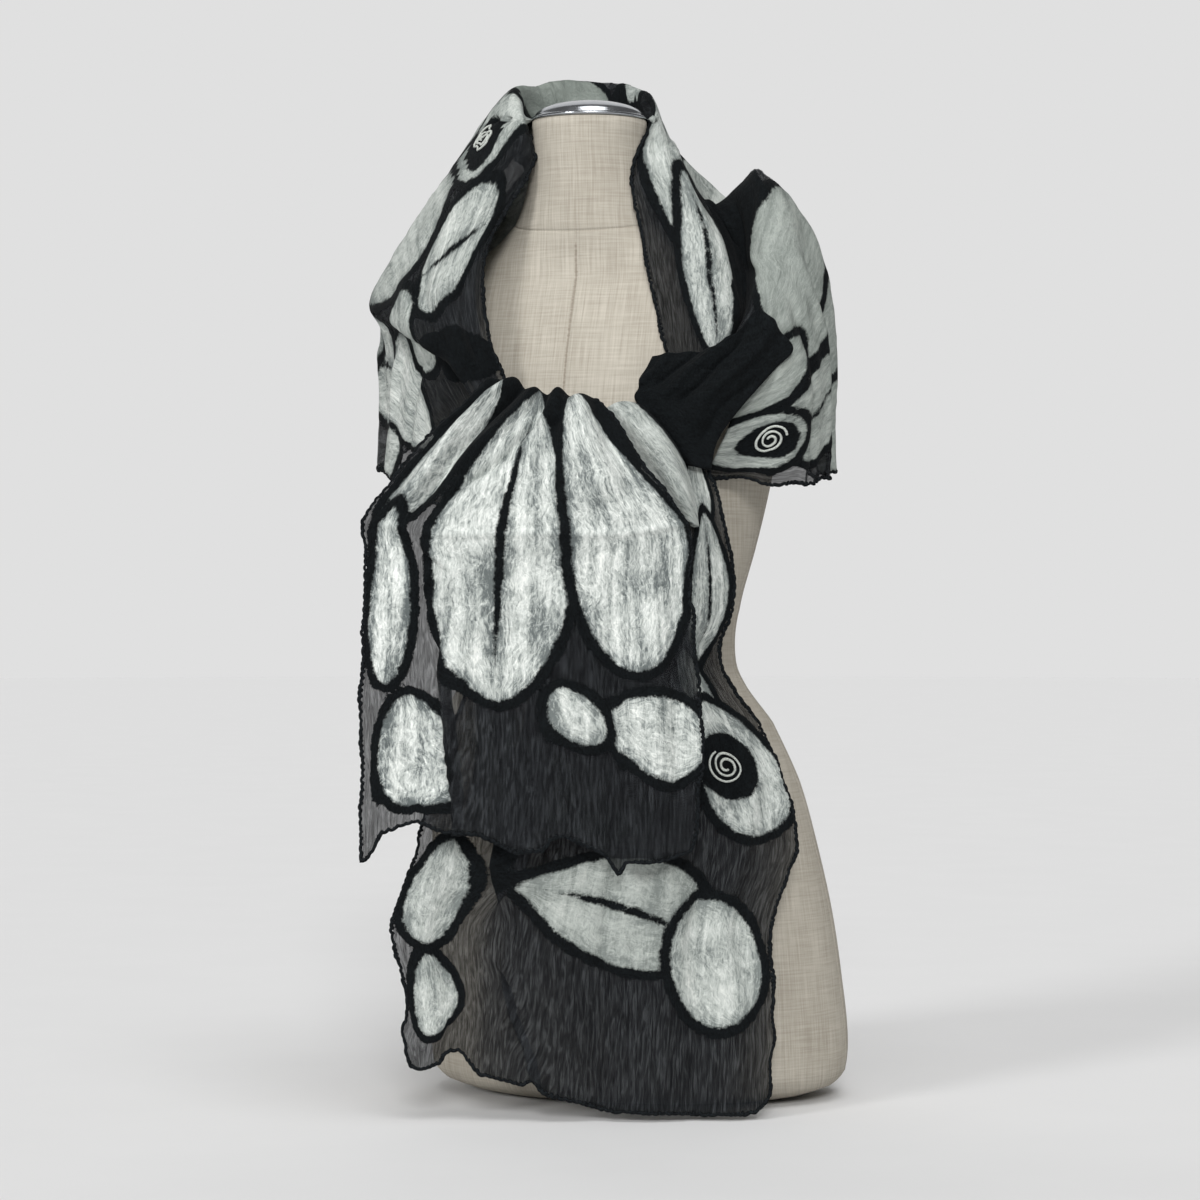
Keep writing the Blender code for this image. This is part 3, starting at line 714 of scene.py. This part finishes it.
thin_to_thick = (
    (0.0, "#5d6363"), (0.16, "#8b918f"), (0.36, "#b7bcb8"),
    (0.6, "#dadeda"), (0.82, "#f2f4ef"), (1.0, "#fdfefa"),
)
wool_colour = add(tree, "ValToRGB", {"Fac": evened}, stops=thin_to_thick)
# Grey wool is multiplied towards this grey; at the collar the same grey is painted shade.
greyed = {0: grey_in, 6: wool_colour, 7: srgb("#9ea39f")}
wool_colour = add(tree, "Mix", greyed, data_type="RGBA", blend_type="MULTIPLY")
felted_height = sums(tree, (mottle, 0.5), (fuzz, 0.5))
black_depth = add(tree, "MapRange", {"Value": felted_height, "From Min": 0.36, "From Max": 0.7})
black_stops = ((0.0, "#060708"), (1.0, "#181c1e"))
black_colour = add(tree, "ValToRGB", {"Fac": black_depth}, stops=black_stops)
creased = sums(tree, (crinkle, 0.85), (wide_crinkle, 0.15))
# The silk's colour follows its crinkles: dark silk, with a painted glint on the crinkles' crests.
silk_glint = add(tree, "MapRange", {"Value": creased, "From Min": 0.32, "From Max": 0.68})
silk_and_glint_stops = ((0.0, "#141517"), (0.5, "#222426"), (1.0, "#404346"))
silk_and_glint_colour = add(tree, "ValToRGB", {"Fac": silk_glint}, stops=silk_and_glint_stops)
bare = add(tree, "Mix", {0: is_black, 6: silk_and_glint_colour, 7: black_colour}, data_type="RGBA")
all_colour = add(tree, "Mix", {0: is_pale, 6: bare, 7: wool_colour}, data_type="RGBA")
felted = add(tree, "Math", {0: is_pale, 1: is_black}, operation="MAXIMUM")
sheer = {"Value": creased, "From Min": 0.34, "From Max": 0.66, "To Min": 0.68, "To Max": 0.46}
sheer = sums(tree, (add(tree, "MapRange", sheer), 1.0), (doubled, 0.22))
cover = add(tree, "Math", {0: felted, 1: sheer}, operation="MAXIMUM")
wool_relief = ((locks, 0.4), (mottle, 0.8), (dashes, 0.5), (fuzz, 0.3))
relief = sums(tree, *wool_relief, (crinkle, 0.6), (wide_crinkle, 0.8))
bump = add(tree, "Bump", {"Height": relief, "Strength": 0.6, "Distance": 0.0014})
feed(tree, shader, {"Base Color": all_colour, "Alpha": cover, "Normal": bump})
feed(tree, shader, {"Roughness": 0.88, "Specular IOR Level": 0.07})
feed(tree, shader, {"Sheen Weight": 0.02, "Sheen Roughness": 0.4})


def spun_wool(name, grains, detail, rise, stops):
    """A matte wool finish whose shade and height wander in so many grains to a metre."""
    made, tree, shader = new_finish(name)
    place = add(tree, "TexCoord").outputs["Object"]
    fuzz = add(tree, "TexNoise", {"Vector": place, "Scale": grains, "Detail": detail})
    shade = add(tree, "ValToRGB", {"Fac": fuzz}, stops=stops)
    bump = add(tree, "Bump", {"Height": fuzz, "Strength": rise, "Distance": 0.0005})
    feed(tree, shader, {"Base Color": shade, "Normal": bump})
    feed(tree, shader, {"Roughness": 0.95, "Specular IOR Level": 0.1})
    return made


# Black felted cord: wool rolled round the cut edge, matte, with a short fuzz.
cord_shades = ((0.35, "#08090a"), (0.7, "#1f2326"))
cord_felt = spun_wool("felted_wool_cord_black", 900.0, 3.0, 0.5, cord_shades)
# The loops in mm: their pitch, how far they reach out, the cord's radius, how far it swings along
# the border and off the cloth, and the stretch over which a loop's size changes.
LOOP_PITCH, LOOP_REACH, CORD_RADIUS = 4.7, 0.95, 1.3
LOOP_SWING, LOOP_LIFT, LOOP_DRIFT = 0.7, 0.5, 9.0


def tube(name, runs, finish):
    """Round cords through the given runs of places in metres, each with its radii, as a mesh."""
    curve = bpy.data.curves.new(name + "_line", "CURVE")
    curve.dimensions = "3D"
    curve.bevel_depth, curve.bevel_resolution, curve.use_fill_caps = 1.0, 1, True
    for places, radii in runs:
        spline = curve.splines.new("POLY")
        spline.points.add(len(places) - 1)
        line = np.concatenate((places, np.ones((len(places), 1))), axis=1)
        spline.points.foreach_set("co", line.ravel())
        spline.points.foreach_set("radius", radii)
    drawn = set_out(name + "_line", curve)
    look = bpy.context.evaluated_depsgraph_get()
    mesh = bpy.data.meshes.new_from_object(drawn.evaluated_get(look))
    bpy.data.objects.remove(drawn)
    bpy.data.curves.remove(curve)
    mesh.name = name
    mesh.materials.clear()
    mesh.materials.append(finish)
    mesh.shade_smooth()
    return set_out(name, mesh)


def looped_edge(name, points, borders, seed):
    """The felted cord along a sheet's borders, in small loops, as one mesh. A border with a minus
    sign is followed backwards."""
    right, below, out = cloth_frames(points)
    runs = {
        "first": (points[:, 0], -right[:, 0], out[:, 0]),
        "last": (points[:, -1], right[:, -1], out[:, -1]),
        "hem": (points[-1], below[-1], out[-1]),
    }
    line, beyond, facing = (
        np.concatenate([runs[b.strip("-")][k][:: -1 if b.startswith("-") else 1] for b in borders])
        for k in range(3)
    )
    steps = np.linalg.norm(np.diff(line, axis=0), axis=1)
    kept = np.concatenate(([True], steps > 1e-6))
    line, beyond, facing = line[kept], beyond[kept], facing[kept]
    run = np.concatenate(([0], np.cumsum(np.linalg.norm(np.diff(line, axis=0), axis=1))))
    at = np.arange(0, run[-1], LOOP_PITCH / 9)
    chance = np.random.default_rng(seed)
    marks = np.arange(0, run[-1] + LOOP_DRIFT, LOOP_DRIFT)
    drift = np.interp(at, marks, chance.uniform(-1, 1, len(marks)))
    phase = 2 * math.pi * (at / LOOP_PITCH + 0.7 * drift)
    along = np.clip(at - LOOP_SWING * np.sin(phase), 0, run[-1])
    base, away, face = (
        np.stack([np.interp(along, run, a[:, k]) for k in range(3)], axis=1)
        for a in (line, beyond, facing)
    )
    reach = LOOP_REACH * (1 + 0.6 * drift) * (1 - np.cos(phase)) * 0.62 - 0.2
    wave = base + away * reach[:, None] + face * (LOOP_LIFT * np.sin(phase * 0.5))[:, None]
    radii = CORD_RADIUS * (1 + 0.25 * drift[::-1]) * 0.001
    return tube(name, [(to_part(wave), radii)], cord_felt)


# Off-white merino yarn, loosely spun and couched down in plain rings: matte and a little hairy.
yarn_shades = ((0.3, "#8d918c"), (0.6, "#c3c7c1"))
yarn_wool = spun_wool("merino_yarn_couched", 1100.0, 2.0, 0.6, yarn_shades)
# The yarn's radius and half the felt's thickness in mm, a ring's start as a share of its radius,
# and how many places and how many wobbles a turn has.
YARN_RADIUS, FELT_HALF, RING_START, TURN_PLACES, TURN_WOBBLES = 0.95, 0.85, 0.18, 26, 5


def yarn_rings(name, points, flat, rings):
    """Yarn laid on a sheet in spirals. Each ring: its middle on the flat silk, its outer radius as
    it lies, its turns and the angle at which it starts."""
    out = cloth_frames(points)[2]
    runs = []
    for number, (at_across, at_down, radius, turns, start) in enumerate(rings):
        share = np.linspace(0, 1, int(turns * TURN_PLACES))
        wobbles = int(turns * TURN_WOBBLES) + 2
        chance = np.random.default_rng(70 + number).uniform(-1, 1, wobbles)
        wobble = np.interp(share * (wobbles - 1), np.arange(wobbles), chance)
        turn = start + 2 * math.pi * turns * share
        reach = radius * (RING_START + (1 - RING_START) * share) * (1 + 0.1 * wobble)
        i = int(np.interp(at_down, flat[:, 0, 1], np.arange(len(flat))))
        j = int(np.interp(at_across, flat[i, :, 0], np.arange(flat.shape[1])))
        wide, long = (
            (flat[b] - flat[a]).max() / np.linalg.norm(points[b] - points[a])
            for a, b in (((i, j - 3), (i, j + 3)), ((i - 4, j), (i + 4, j)))
        )
        x, y = at_across + reach * np.cos(turn) * wide, at_down + reach * np.sin(turn) * long
        row = np.interp(y, flat[:, 0, 1], np.arange(len(flat)))
        laid = []
        for r, a in zip(row, x):
            i = min(int(r), len(flat) - 2)
            sides = []
            for k in (i, i + 1):
                column = np.interp(a, flat[k, :, 0], np.arange(flat.shape[1]))
                j = min(int(column), flat.shape[1] - 2)
                t = column - j
                on = points[k, j] * (1 - t) + points[k, j + 1] * t
                sides.append(on + out[k, j] * (YARN_RADIUS * 0.9 + FELT_HALF))
            laid.append(sides[0] * (1 - (r - i)) + sides[1] * (r - i))
        radii = YARN_RADIUS * (1 + 0.2 * wobble) * 0.001
        runs.append((to_part(np.array(laid)), radii))
    return tube(name, runs, yarn_wool)


# The mesh's columns across the scarf, closest where the folds are small, and its rows along it.
stretches = ((0, 1, 15), (1, 3.5, 43), (3.5, 5.2, 27), (5.2, 7, 36))
across = np.concatenate([[0.0]] + [np.linspace(*stretch)[1:] for stretch in stretches])
down = np.linspace(0, 12, 301)
points = drape(WRAP, across, down)
points = relax(keep_off(points, FIRST_GAP), 2)
points = lay_folds(points, across, down, WRAP_FOLDS)
real = lengths(points)
right, _, out = cloth_frames(points)
share = real[:, :, 0] / real[:, -1:, 0]
flat = np.stack((share * SCARF_WIDTH, real[:, :, 1] * WRAP_LENGTH / real[-1, 0, 1]), axis=-1)
# Fine crinkles all over, wider ones at the hem, and a wavy hem behind.
hem_part = ease((share - 0.8) / 0.2)
waves = (0.5, 7, 60, 3, 1), (1.3, 30, 34, 4, 1), (2.4, 60, 26, 5, hem_part)
points = ruffle(points, out, real, *waves)
points = ruffle(points, right, real, (-3.0, 60, 21, 6, hem_part**3))
behind = between(down, 4.0, 1.2, 8.8, 1.2)[:, None]
points = ruffle(points, right, real, (-15.0, 500, 44, 9, behind * hem_part))
points = keep_off(points, FORM_GAP)
# On the right breast the silk is tucked under, so it lies in two layers.
tucked = 1.3 * between(across, 0.8, 0.3, 3.6, 0.3) * ease((2.0 - down[:, None]) / 0.6)
scarf_wrap = make_cloth("scarf_wrap", points, flat, WRAP_WOOL, doubled=tucked)
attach(scarf_wrap, "root")
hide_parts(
    "scarf_collar",
    "scarf_right_shoulder",
    "scarf_right_drape",
    "scarf_left_lapel",
    "scarf_left_cape",
)
wrap_edge = looped_edge("scarf_wrap_neck_edge", points, ("first",), 11)
wrap_hem = looped_edge("scarf_wrap_hem", points, ("last",), 12)
for cord in (wrap_edge, wrap_hem):
    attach(cord, "root")
wrap_yarn = yarn_rings(
    "scarf_wrap_yarn", points, flat, ((60, 178, 10.5, 2.4, 0.4), (308, 730, 11.5, 2.4, 2.0))
)
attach(wrap_yarn, "root")

# ------------------------------------------------------------------ the crossing on the chest
# The stretch under the flipped end, all black wool: it comes from the left side and passes
# behind the knot. Its right border is a fold, so the cloth turns under there.
CROSSING = (
    ((38, -158, 553), (62, -162, 556), (90, -165, 563), (114, -156, 588)),
    ((34, -160, 545), (60, -166, 548), (92, -170, 556), (130, -156, 570)),
    ((30, -161, 538), (58, -168, 540), (92, -172, 546), (138, -157, 558)),
    ((28, -162, 530), (56, -170, 531), (89, -174, 535), (125, -162, 544)),
    ((26, -163, 520), (54, -171, 520), (84, -175, 521), (105, -168, 522)),
    ((46, -167, 494), (58, -173, 494), (72, -174, 494), (84, -170, 494)),
    ((64, -171, 474), (68, -174, 473), (73, -174, 472), (78, -172, 471)),
)
CROSSING_FOLDS = (
    ((4.6, 4.5, 4), (3, 0.6), (2.1, 2.6), (1.5, 5)),
    ((-4.4, 3.6, 3.2), (2.6, 0), (1.7, 2.2), (1.1, 4.4)),
    ((4, 4.2, 3.6), (2.1, 0), (1.2, 1.9), (0.7, 3.9)),
    ((-3.4, 3.6, 3), (1.4, 0), (0.8, 1.6), (0.3, 3.2)),
    ((3, 4, 3), (0.5, 0), (0.3, 1.5), (0, 2.6)),
    ((-3, 3.4, 3), (2.9, 3), (2.3, 4.2), (1.9, 5.4)),
)
CROSSING_WOOL = ((45, 60, 0, 90, 90, 0.5, 0, 0, None),)


def turn_under(points, radius, back):
    """Adds a fold along a sheet's last column: the cloth turns round it and runs back behind."""
    right, _, out = cloth_frames(points)
    edge, away, face = points[:, -1], right[:, -1], out[:, -1]
    added = []
    for k in range(1, 7):
        turn = math.pi * k / 6
        added.append(edge + radius * (away * math.sin(turn) + face * (math.cos(turn) - 1)))
    for k in range(1, 5):
        added.append(added[5] - away * back * k / 4)
    return np.concatenate((points, np.stack(added, axis=1)), axis=1)


across, down = np.linspace(0, 3, 49), np.linspace(0, 6, 61)
points = drape(CROSSING, across, down)
points = keep_off(points, FORM_GAP)
points = lay_folds(points, across, down, CROSSING_FOLDS)
points = turn_under(points, radius=1.6, back=9.0)
real = lengths(points)
scarf_crossing = make_cloth("scarf_crossing_felt", points, real, CROSSING_WOOL, rim=0.0)
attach(scarf_crossing, "root")
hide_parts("scarf_crossing")

# ------------------------------------------------------------------ the knot's fold
# A pale fold of the same felt that shows to the right of the flipped end, rounded and turned
# under on its right.
KNOT_FOLD = (
    ((0, -174, 512), (14, -178, 519), (28, -176, 517), (38, -168, 510)),
    ((10, -178, 496), (26, -187, 500), (42, -185, 498), (52, -175, 492)),
    ((26, -180, 474), (42, -190, 478), (54, -188, 476), (62, -176, 470)),
    ((44, -182, 452), (54, -190, 452), (62, -188, 450), (68, -178, 446)),
    ((60, -184, 434), (64, -188, 433), (67, -187, 431), (70, -182, 430)),
)
KNOT_WOOL = ((18, 50, 78, 66, 32, 0.5, 0, 0, 0.4),)
across, down = np.linspace(0, 3, 33), np.linspace(0, 4, 55)
points = drape(KNOT_FOLD, across, down)
points = turn_under(points, radius=1.4, back=5.0)
real = lengths(points)
scarf_knot = make_cloth("scarf_knot_felt", points, real, KNOT_WOOL, rim=8.0)
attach(scarf_knot, "root")
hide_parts("scarf_knot_fold")

# ------------------------------------------------------------------ the upper end
# One end of the scarf comes up behind the crossing and flips over it. It fans out in folds from
# the knot, breaks at an old storage crease and hangs straight to its uneven hem.
UPPER_END = (
    # the tuck behind the crossing
    ((-84, -159, 512), (-66, -161, 508), (-48, -163, 504), (-30, -165, 502), (-14, -165, 502)),
    # the fold over the crossing
    ((-80, -174, 535), (-62, -180, 532), (-42, -184, 524), (-20, -187, 521), (-3, -186, 519)),
    ((-92, -180, 521), (-68, -190, 520), (-44, -195, 512), (-16, -202, 512), (8, -195, 508)),
    ((-120, -184, 496), (-86, -196, 492), (-48, -204, 488), (-8, -211, 486), (26, -203, 480)),
    ((-146, -188, 464), (-102, -202, 456), (-50, -211, 452), (4, -216, 452), (46, -208, 452)),
    # the crease across it
    ((-168, -190, 433), (-112, -206, 424), (-50, -214, 424), (14, -216, 424), (61, -206, 431)),
    ((-166, -194, 398), (-110, -204, 396), (-50, -209, 394), (14, -210, 394), (64, -203, 396)),
    ((-168, -192, 340), (-112, -199, 336), (-50, -203, 334), (16, -203, 334), (67, -197, 336)),
    ((-170, -190, 280), (-112, -197, 276), (-50, -200, 274), (18, -199, 274), (72, -195, 276)),
    # the hem
    ((-169, -188, 196), (-118, -196, 216), (-52, -199, 203), (18, -198, 190), (66, -194, 200)),
)
# The end's width in mm, and the first row below the part that the crossing hides.
UPPER_WIDTH, UPPER_SHOWN = 240.0, 14
UPPER_FOLDS = (
    # fanned from the knot
    ((4, 3.5, 4.5), (0.1, 0.7), (0.12, 2.5), (0.08, 4.6)),
    ((8.5, 4, 6.5), (1.2, 0.6), (0.95, 1.3), (0.55, 2), (0.45, 2.7), (0.46, 3.3), (0.38, 4.2),
     (0.34, 5)),
    ((-6.5, 3.5, 5), (1.5, 0.6), (1.2, 1.8), (0.85, 3), (0.64, 4), (0.58, 4.9)),
    ((7, 4, 6), (1.82, 0.7), (1.32, 2.7), (1.02, 3.3), (0.86, 3.9)),
    ((-6.5, 3.2, 5), (2.15, 0.6), (1.95, 2.5), (1.6, 3.3), (1.05, 4), (0.8, 4.8)),
    ((6.5, 5, 8), (2.45, 0.6), (2.38, 1.6), (2.2, 2.6)),
    ((-3.2, 3.5, 8), (2.78, 0.7), (2.55, 2.2), (2.25, 3.9)),
    ((5.5, 5, 15), (3.1, 0.7), (2.98, 2.2), (2.9, 4.4)),
    ((-3.4, 4, 9), (3.6, 0.8), (3.52, 2.6), (3.46, 4.4)),
    ((3, 4, 6), (3.88, 0.9), (3.86, 2.8), (3.84, 4.6)),
    # the storage crease
    ((2.2, 2.4, 2.4), (0, 5), (0.8, 4.97), (1.7, 5.01), (2.7, 4.98), (4, 5)),
    # the small pleat below it
    ((-4, 3, 3), (0.46, 5), (0.92, 5.9), (0.64, 6.6)),
    ((2.6, 3.5, 4), (0.66, 5.2), (1.06, 5.9), (0.82, 6.7)),
    # hanging
    ((4, 9, 14), (0.3, 5.6), (0.26, 7.4), (0.3, 9)),
    ((1.6, 6.5, 8, 17), (0.94, 6.7), (1.06, 7.8), (1.26, 9)),
    ((3.8, 9, 14), (1.25, 5.8), (1.2, 7.6), (1.26, 9)),
    ((-3.4, 6, 9), (1.66, 6), (1.7, 7.6), (1.74, 9)),
    ((2.8, 14, 18), (2.26, 5.5), (2.32, 7.4), (2.26, 9)),
    ((-4.2, 4.5, 8), (2.86, 6.5), (2.84, 8), (2.9, 9)),
    ((3.2, 9, 13), (3.3, 5.8), (3.38, 7.6), (3.34, 9)),
    ((-3, 5, 8), (3.74, 6), (3.72, 7.6), (3.7, 9)),
)
# The hem's outline: how far across the view in mm, and its height.
UPPER_HEM = (
    (-175, 198), (-170, 190), (-163, 197), (-156, 212), (-131, 220), (-111, 212), (-87, 211),
    (-60, 198), (-40, 200), (-35, 208), (-26, 210), (-10, 203), (4, 196), (13, 182), (19, 191),
    (34, 191), (50, 193), (66, 199),
)
UPPER_WOOL = (
    (120, 52, 0, 128, 66, 0.5, 0, 0, None),
    (34, 94, 103, 62, 17, 0.6, 5, 0, 0.1),
    (19, 206, 91, 64, 15, 0.6, 0, 0, 0.0),
    (101, 155, 95, 120, 48, 0.6, -6, 3.4, 0.1),
    (191, 144, 86, 111, 44, 0.52, 5, 0, 0.06),
    (40, 322, 84, 45, 27, 0.5, 0, 0, 0.0),
    (206, 300, 20, 40, 27, 0.55, 0, 0, 0.15),
    (148, 290, 60, 24, 15, 0.5, 0, 0, 0.2),
)


def shape_hem(points, outline, start):
    """Lets a sheet down or draws it up below a row, so that its hem follows an outline."""
    x, z = np.array(outline, float).T
    wanted = np.interp(points[-1, :, 0], x, z)
    rows = np.arange(len(points)) / (len(points) - 1)
    share = ease((rows - start) / (1 - start)) ** 1.3
    moved = points.copy()
    moved[:, :, 2] += (wanted - points[-1, :, 2])[None, :] * share[:, None]
    return moved


across, down = np.linspace(0, 4, 105), np.linspace(0, 9, 165)
points = drape(UPPER_END, across, down)
points = lay_folds(points, across, down, UPPER_FOLDS)
real = lengths(points)
right, _, out = cloth_frames(points)
low_part = ease((down[:, None] - 5.2) / 3.8)
side_part = ease((0.35 - across) / 0.35) + ease((across - 3.65) / 0.35)
waves = (0.45, 6.5, 60, 21, 1), (1.0, 26, 40, 22, 1), (2.2, 20, 120, 23, low_part)
points = ruffle(points, out, real, *waves)
points = ruffle(points, right, real, (1.8, 200, 15, 24, side_part))
points = shape_hem(points, UPPER_HEM, start=0.72)
flat = real.copy()
flat[:, :, 0] = across / 4 * UPPER_WIDTH
# A tuck doubles the silk down one side, below the wool.
tucked = 1.3 * between(across, 1.36, 0.07, 1.92, 0.2) * ease((down[:, None] - 5.6) / 0.8)
scarf_upper = make_cloth("scarf_upper_end_felt", points, flat, UPPER_WOOL, doubled=tucked)
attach(scarf_upper, "root")
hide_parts("scarf_upper_end")
shown = points[UPPER_SHOWN:]
upper_edge = looped_edge("scarf_upper_end_edge", shown, ("first", "hem", "-last"), 31)
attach(upper_edge, "root")

# ------------------------------------------------------------------ the under end
# The other end hangs from behind the crossing over the form's front, almost to its underside. It
# is mostly bare silk, with one long lap that shows dark through it.
UNDER_END = (
    # behind the crossing
    ((40, -156, 498), (50, -158, 497), (60, -159, 496), (70, -158, 496)),
    ((10, -164, 466), (32, -168, 464), (54, -168, 466), (78, -165, 472)),
    ((-40, -168, 420), (0, -178, 418), (50, -180, 418), (92, -166, 424)),
    ((-76, -168, 370), (-20, -179, 366), (44, -181, 366), (95, -165, 372)),
    ((-88, -168, 335), (-24, -178, 332), (40, -178, 332), (84, -164, 336)),
    ((-104, -166, 290), (-30, -176, 286), (46, -176, 286), (110, -156, 292)),
    ((-122, -164, 240), (-40, -174, 236), (52, -172, 236), (134, -144, 244)),
    ((-132, -162, 196), (-46, -172, 190), (52, -170, 190), (142, -138, 198)),
    ((-148, -160, 140), (-60, -168, 132), (42, -166, 130), (126, -146, 140)),
    ((-140, -158, 90), (-62, -164, 80), (40, -162, 78), (126, -148, 86)),
    # the hem
    ((-142, -156, 40), (-66, -160, 22), (36, -158, 6), (124, -150, 15)),
)
UNDER_WIDTH, UNDER_SHOWN = 272.0, 20
UNDER_FOLDS = (
    # the long lap, and the fold that slants from it to the hem
    ((2, 16, 17, 46), (0.98, 3), (0.84, 5.4), (0.8, 7.9)),
    ((1.4, 7, 6, 14), (0.84, 8.3), (0.98, 9.1), (1.24, 10)),
    # hanging
    ((3.8, 9, 13), (0.24, 4.4), (0.18, 7), (0.24, 10)),
    ((-3.6, 6, 8), (0.46, 6.5), (0.44, 8.4), (0.5, 10)),
    ((3.6, 9, 15), (1.34, 2.2), (1.3, 6), (1.36, 10)),
    ((-4, 5, 9), (1.62, 5.8), (1.6, 8), (1.66, 10)),
    ((3.4, 10, 16), (1.98, 3), (1.96, 7), (2.02, 10)),
    ((-3.8, 5, 9), (2.32, 4.2), (2.3, 7.4), (2.36, 10)),
    ((3.6, 6, 12), (2.68, 2), (2.7, 6), (2.7, 10)),
)
UNDER_HEM = (
    (-150, 70), (-144, 60), (-137, 40), (-128, 38), (-115, 44), (-112, 51), (-101, 52), (-87, 35),
    (-56, 27), (-48, 32), (-42, 22), (-20, 16), (0, 10), (12, 7.5), (47, 6.5), (80, 4.5),
    (112, 5.5), (120, 12), (126, 24),
)
UNDER_WOOL = (
    (78, 250, 92, 96, 12, 0.5, 0, 0, None),
    (236, 44, 80, 34, 20, 0.6, 0, 0, 0.3),
    (240, 126, 88, 56, 25, 0.65, 0, 2.2, 0.25),
    (224, 196, 70, 24, 16, 0.5, 0, 0, 0.3),
    (238, 264, 76, 52, 33, 0.5, 0, 0, 0.25),
    (156, 362, 20, 66, 38, 0.65, 6, 2.8, 0.6),
    (224, 404, 64, 48, 34, 0.5, 0, 0, 0.4),
    (24, 356, 90, 40, 19, 0.55, 0, 0, 0.35),
    (26, 440, 88, 36, 18, 0.55, 0, 0, 0.35),
    (228, 262, 0, 17, 18, 0.5, 0, 0, None),
)
across, down = np.linspace(0, 3, 119), np.linspace(0, 10, 205)
points = drape(UNDER_END, across, down)
points = keep_off(points, FIRST_GAP)
points = lay_folds(points, across, down, UNDER_FOLDS)
real = lengths(points)
right, _, out = cloth_frames(points)
low_part = ease((down[:, None] - 3.0) / 6.0)
side_part = ease((0.25 - across) / 0.25) + ease((across - 2.75) / 0.25)
waves = (0.45, 6.5, 70, 41, 1), (1.0, 28, 40, 42, 1), (2.2, 24, 150, 43, low_part)
points = ruffle(points, out, real, *waves)
points = ruffle(points, right, real, (2.4, 200, 17, 44, side_part))
points = shape_hem(points, UNDER_HEM, start=0.8)
points = keep_off(points, FORM_GAP)
flat = real.copy()
flat[:, :, 0] = across / 3 * UNDER_WIDTH
# The long lap lies over half the width, so the silk is double there.
lapped = 0.8 * between(across, 0.62, 0.2, 3.3, 0.9)
scarf_under = make_cloth("scarf_under_end_felt", points, flat, UNDER_WOOL, doubled=lapped)
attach(scarf_under, "root")
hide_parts("scarf_under_end")
shown = points[UNDER_SHOWN:]
under_edge = looped_edge("scarf_under_end_edge", shown, ("first", "hem", "-last"), 51)
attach(under_edge, "root")
under_yarn = yarn_rings("scarf_under_end_yarn", points, flat, ((228, 262, 14, 2.5, 1.2),))
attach(under_yarn, "root")

# ------------------------------------------------------------------ the studio
# A wide floor of pale seamless paper, air of the same pale grey on every side, and soft light from
# four large panels.

# The floor in metres: it lies just under the form's foot.
FLOOR_RADIUS, FLOOR_DROP = 14.0, 0.0005

# Seamless paper: matte and plain, with a faint cloudiness from its pulp.
floor_paper, tree, shader = new_finish("seamless_paper_pale_grey")
place = add(tree, "TexCoord").outputs["Object"]
pulp = add(tree, "TexNoise", {"Vector": place, "Scale": 9.0, "Detail": 4.0})
paper = add(tree, "ValToRGB", {"Fac": pulp}, stops=((0.2, "#e0e0e0"), (0.8, "#e2e2e2")))
feed(tree, shader, {"Base Color": paper, "Roughness": 1.0, "Specular IOR Level": 0.0})
maker = bmesh.new()
bmesh.ops.create_circle(maker, cap_ends=True, segments=96, radius=FLOOR_RADIUS)
bmesh.ops.translate(maker, vec=(0, 0, -FLOOR_DROP), verts=maker.verts)
studio_floor = place_mesh("studio_floor", maker, floor_paper)

world = bpy.data.worlds.new("studio_air")
world.use_nodes = True
tree = world.node_tree
surround = add(tree, "Background", {"Color": srgb("#e0e0e0"), "Strength": 1.0})
fill = add(tree, "Background", {"Color": srgb("#ffffff"), "Strength": 0.14})
seen = add(tree, "LightPath").outputs["Is Camera Ray"]
air = add(tree, "MixShader", {0: seen, 1: fill, 2: surround})
feed(tree, tree.nodes["World Output"], {"Surface": air})
bpy.context.scene.world = world
# Each light: the way it comes from, its strength and how wide it looks in degrees. The panels are
# beside the camera, to its left, overhead and behind, far enough away to light the floor evenly.
for name, place, strength, wide in (
    ("front_panel", (0.05, -1.9, 0.85), 1.65, 14.0),
    ("left_panel", (-1.3, -1.5, 0.7), 1.25, 14.0),
    ("overhead_panel", (0.2, -0.9, 2.0), 1.3, 40.0),
    ("back_panel", (-0.3, 1.9, 1.1), 0.7, 70.0),
):
    lamp = bpy.data.lights.new(name, "SUN")
    lamp.energy, lamp.angle = strength, math.radians(wide)
    panel = set_out(name, lamp)
    panel.location = DRAPE_AXES @ Vector(place)
    panel.rotation_euler = panel.location.to_track_quat("Z", "Y").to_euler()

# In metres: the camera's distance from the form, its place beside it and its height, and how wide
# the view is at the form.
CAMERA_DISTANCE, CAMERA_SIDE, CAMERA_HEIGHT, VIEW_WIDTH = 2.6, -0.029, 0.377, 0.924
SENSOR_MM = 36.0
lens = bpy.data.cameras.new("camera")
lens.sensor_width = SENSOR_MM
lens.lens = SENSOR_MM * CAMERA_DISTANCE / VIEW_WIDTH
camera = set_out("camera", lens)
camera.location = DRAPE_AXES @ Vector((CAMERA_SIDE, -CAMERA_DISTANCE, CAMERA_HEIGHT))
camera.rotation_euler = (math.pi / 2, 0, DRAPE_TURN)
bpy.context.scene.camera = camera
bpy.context.scene.view_settings.view_transform = "Standard"
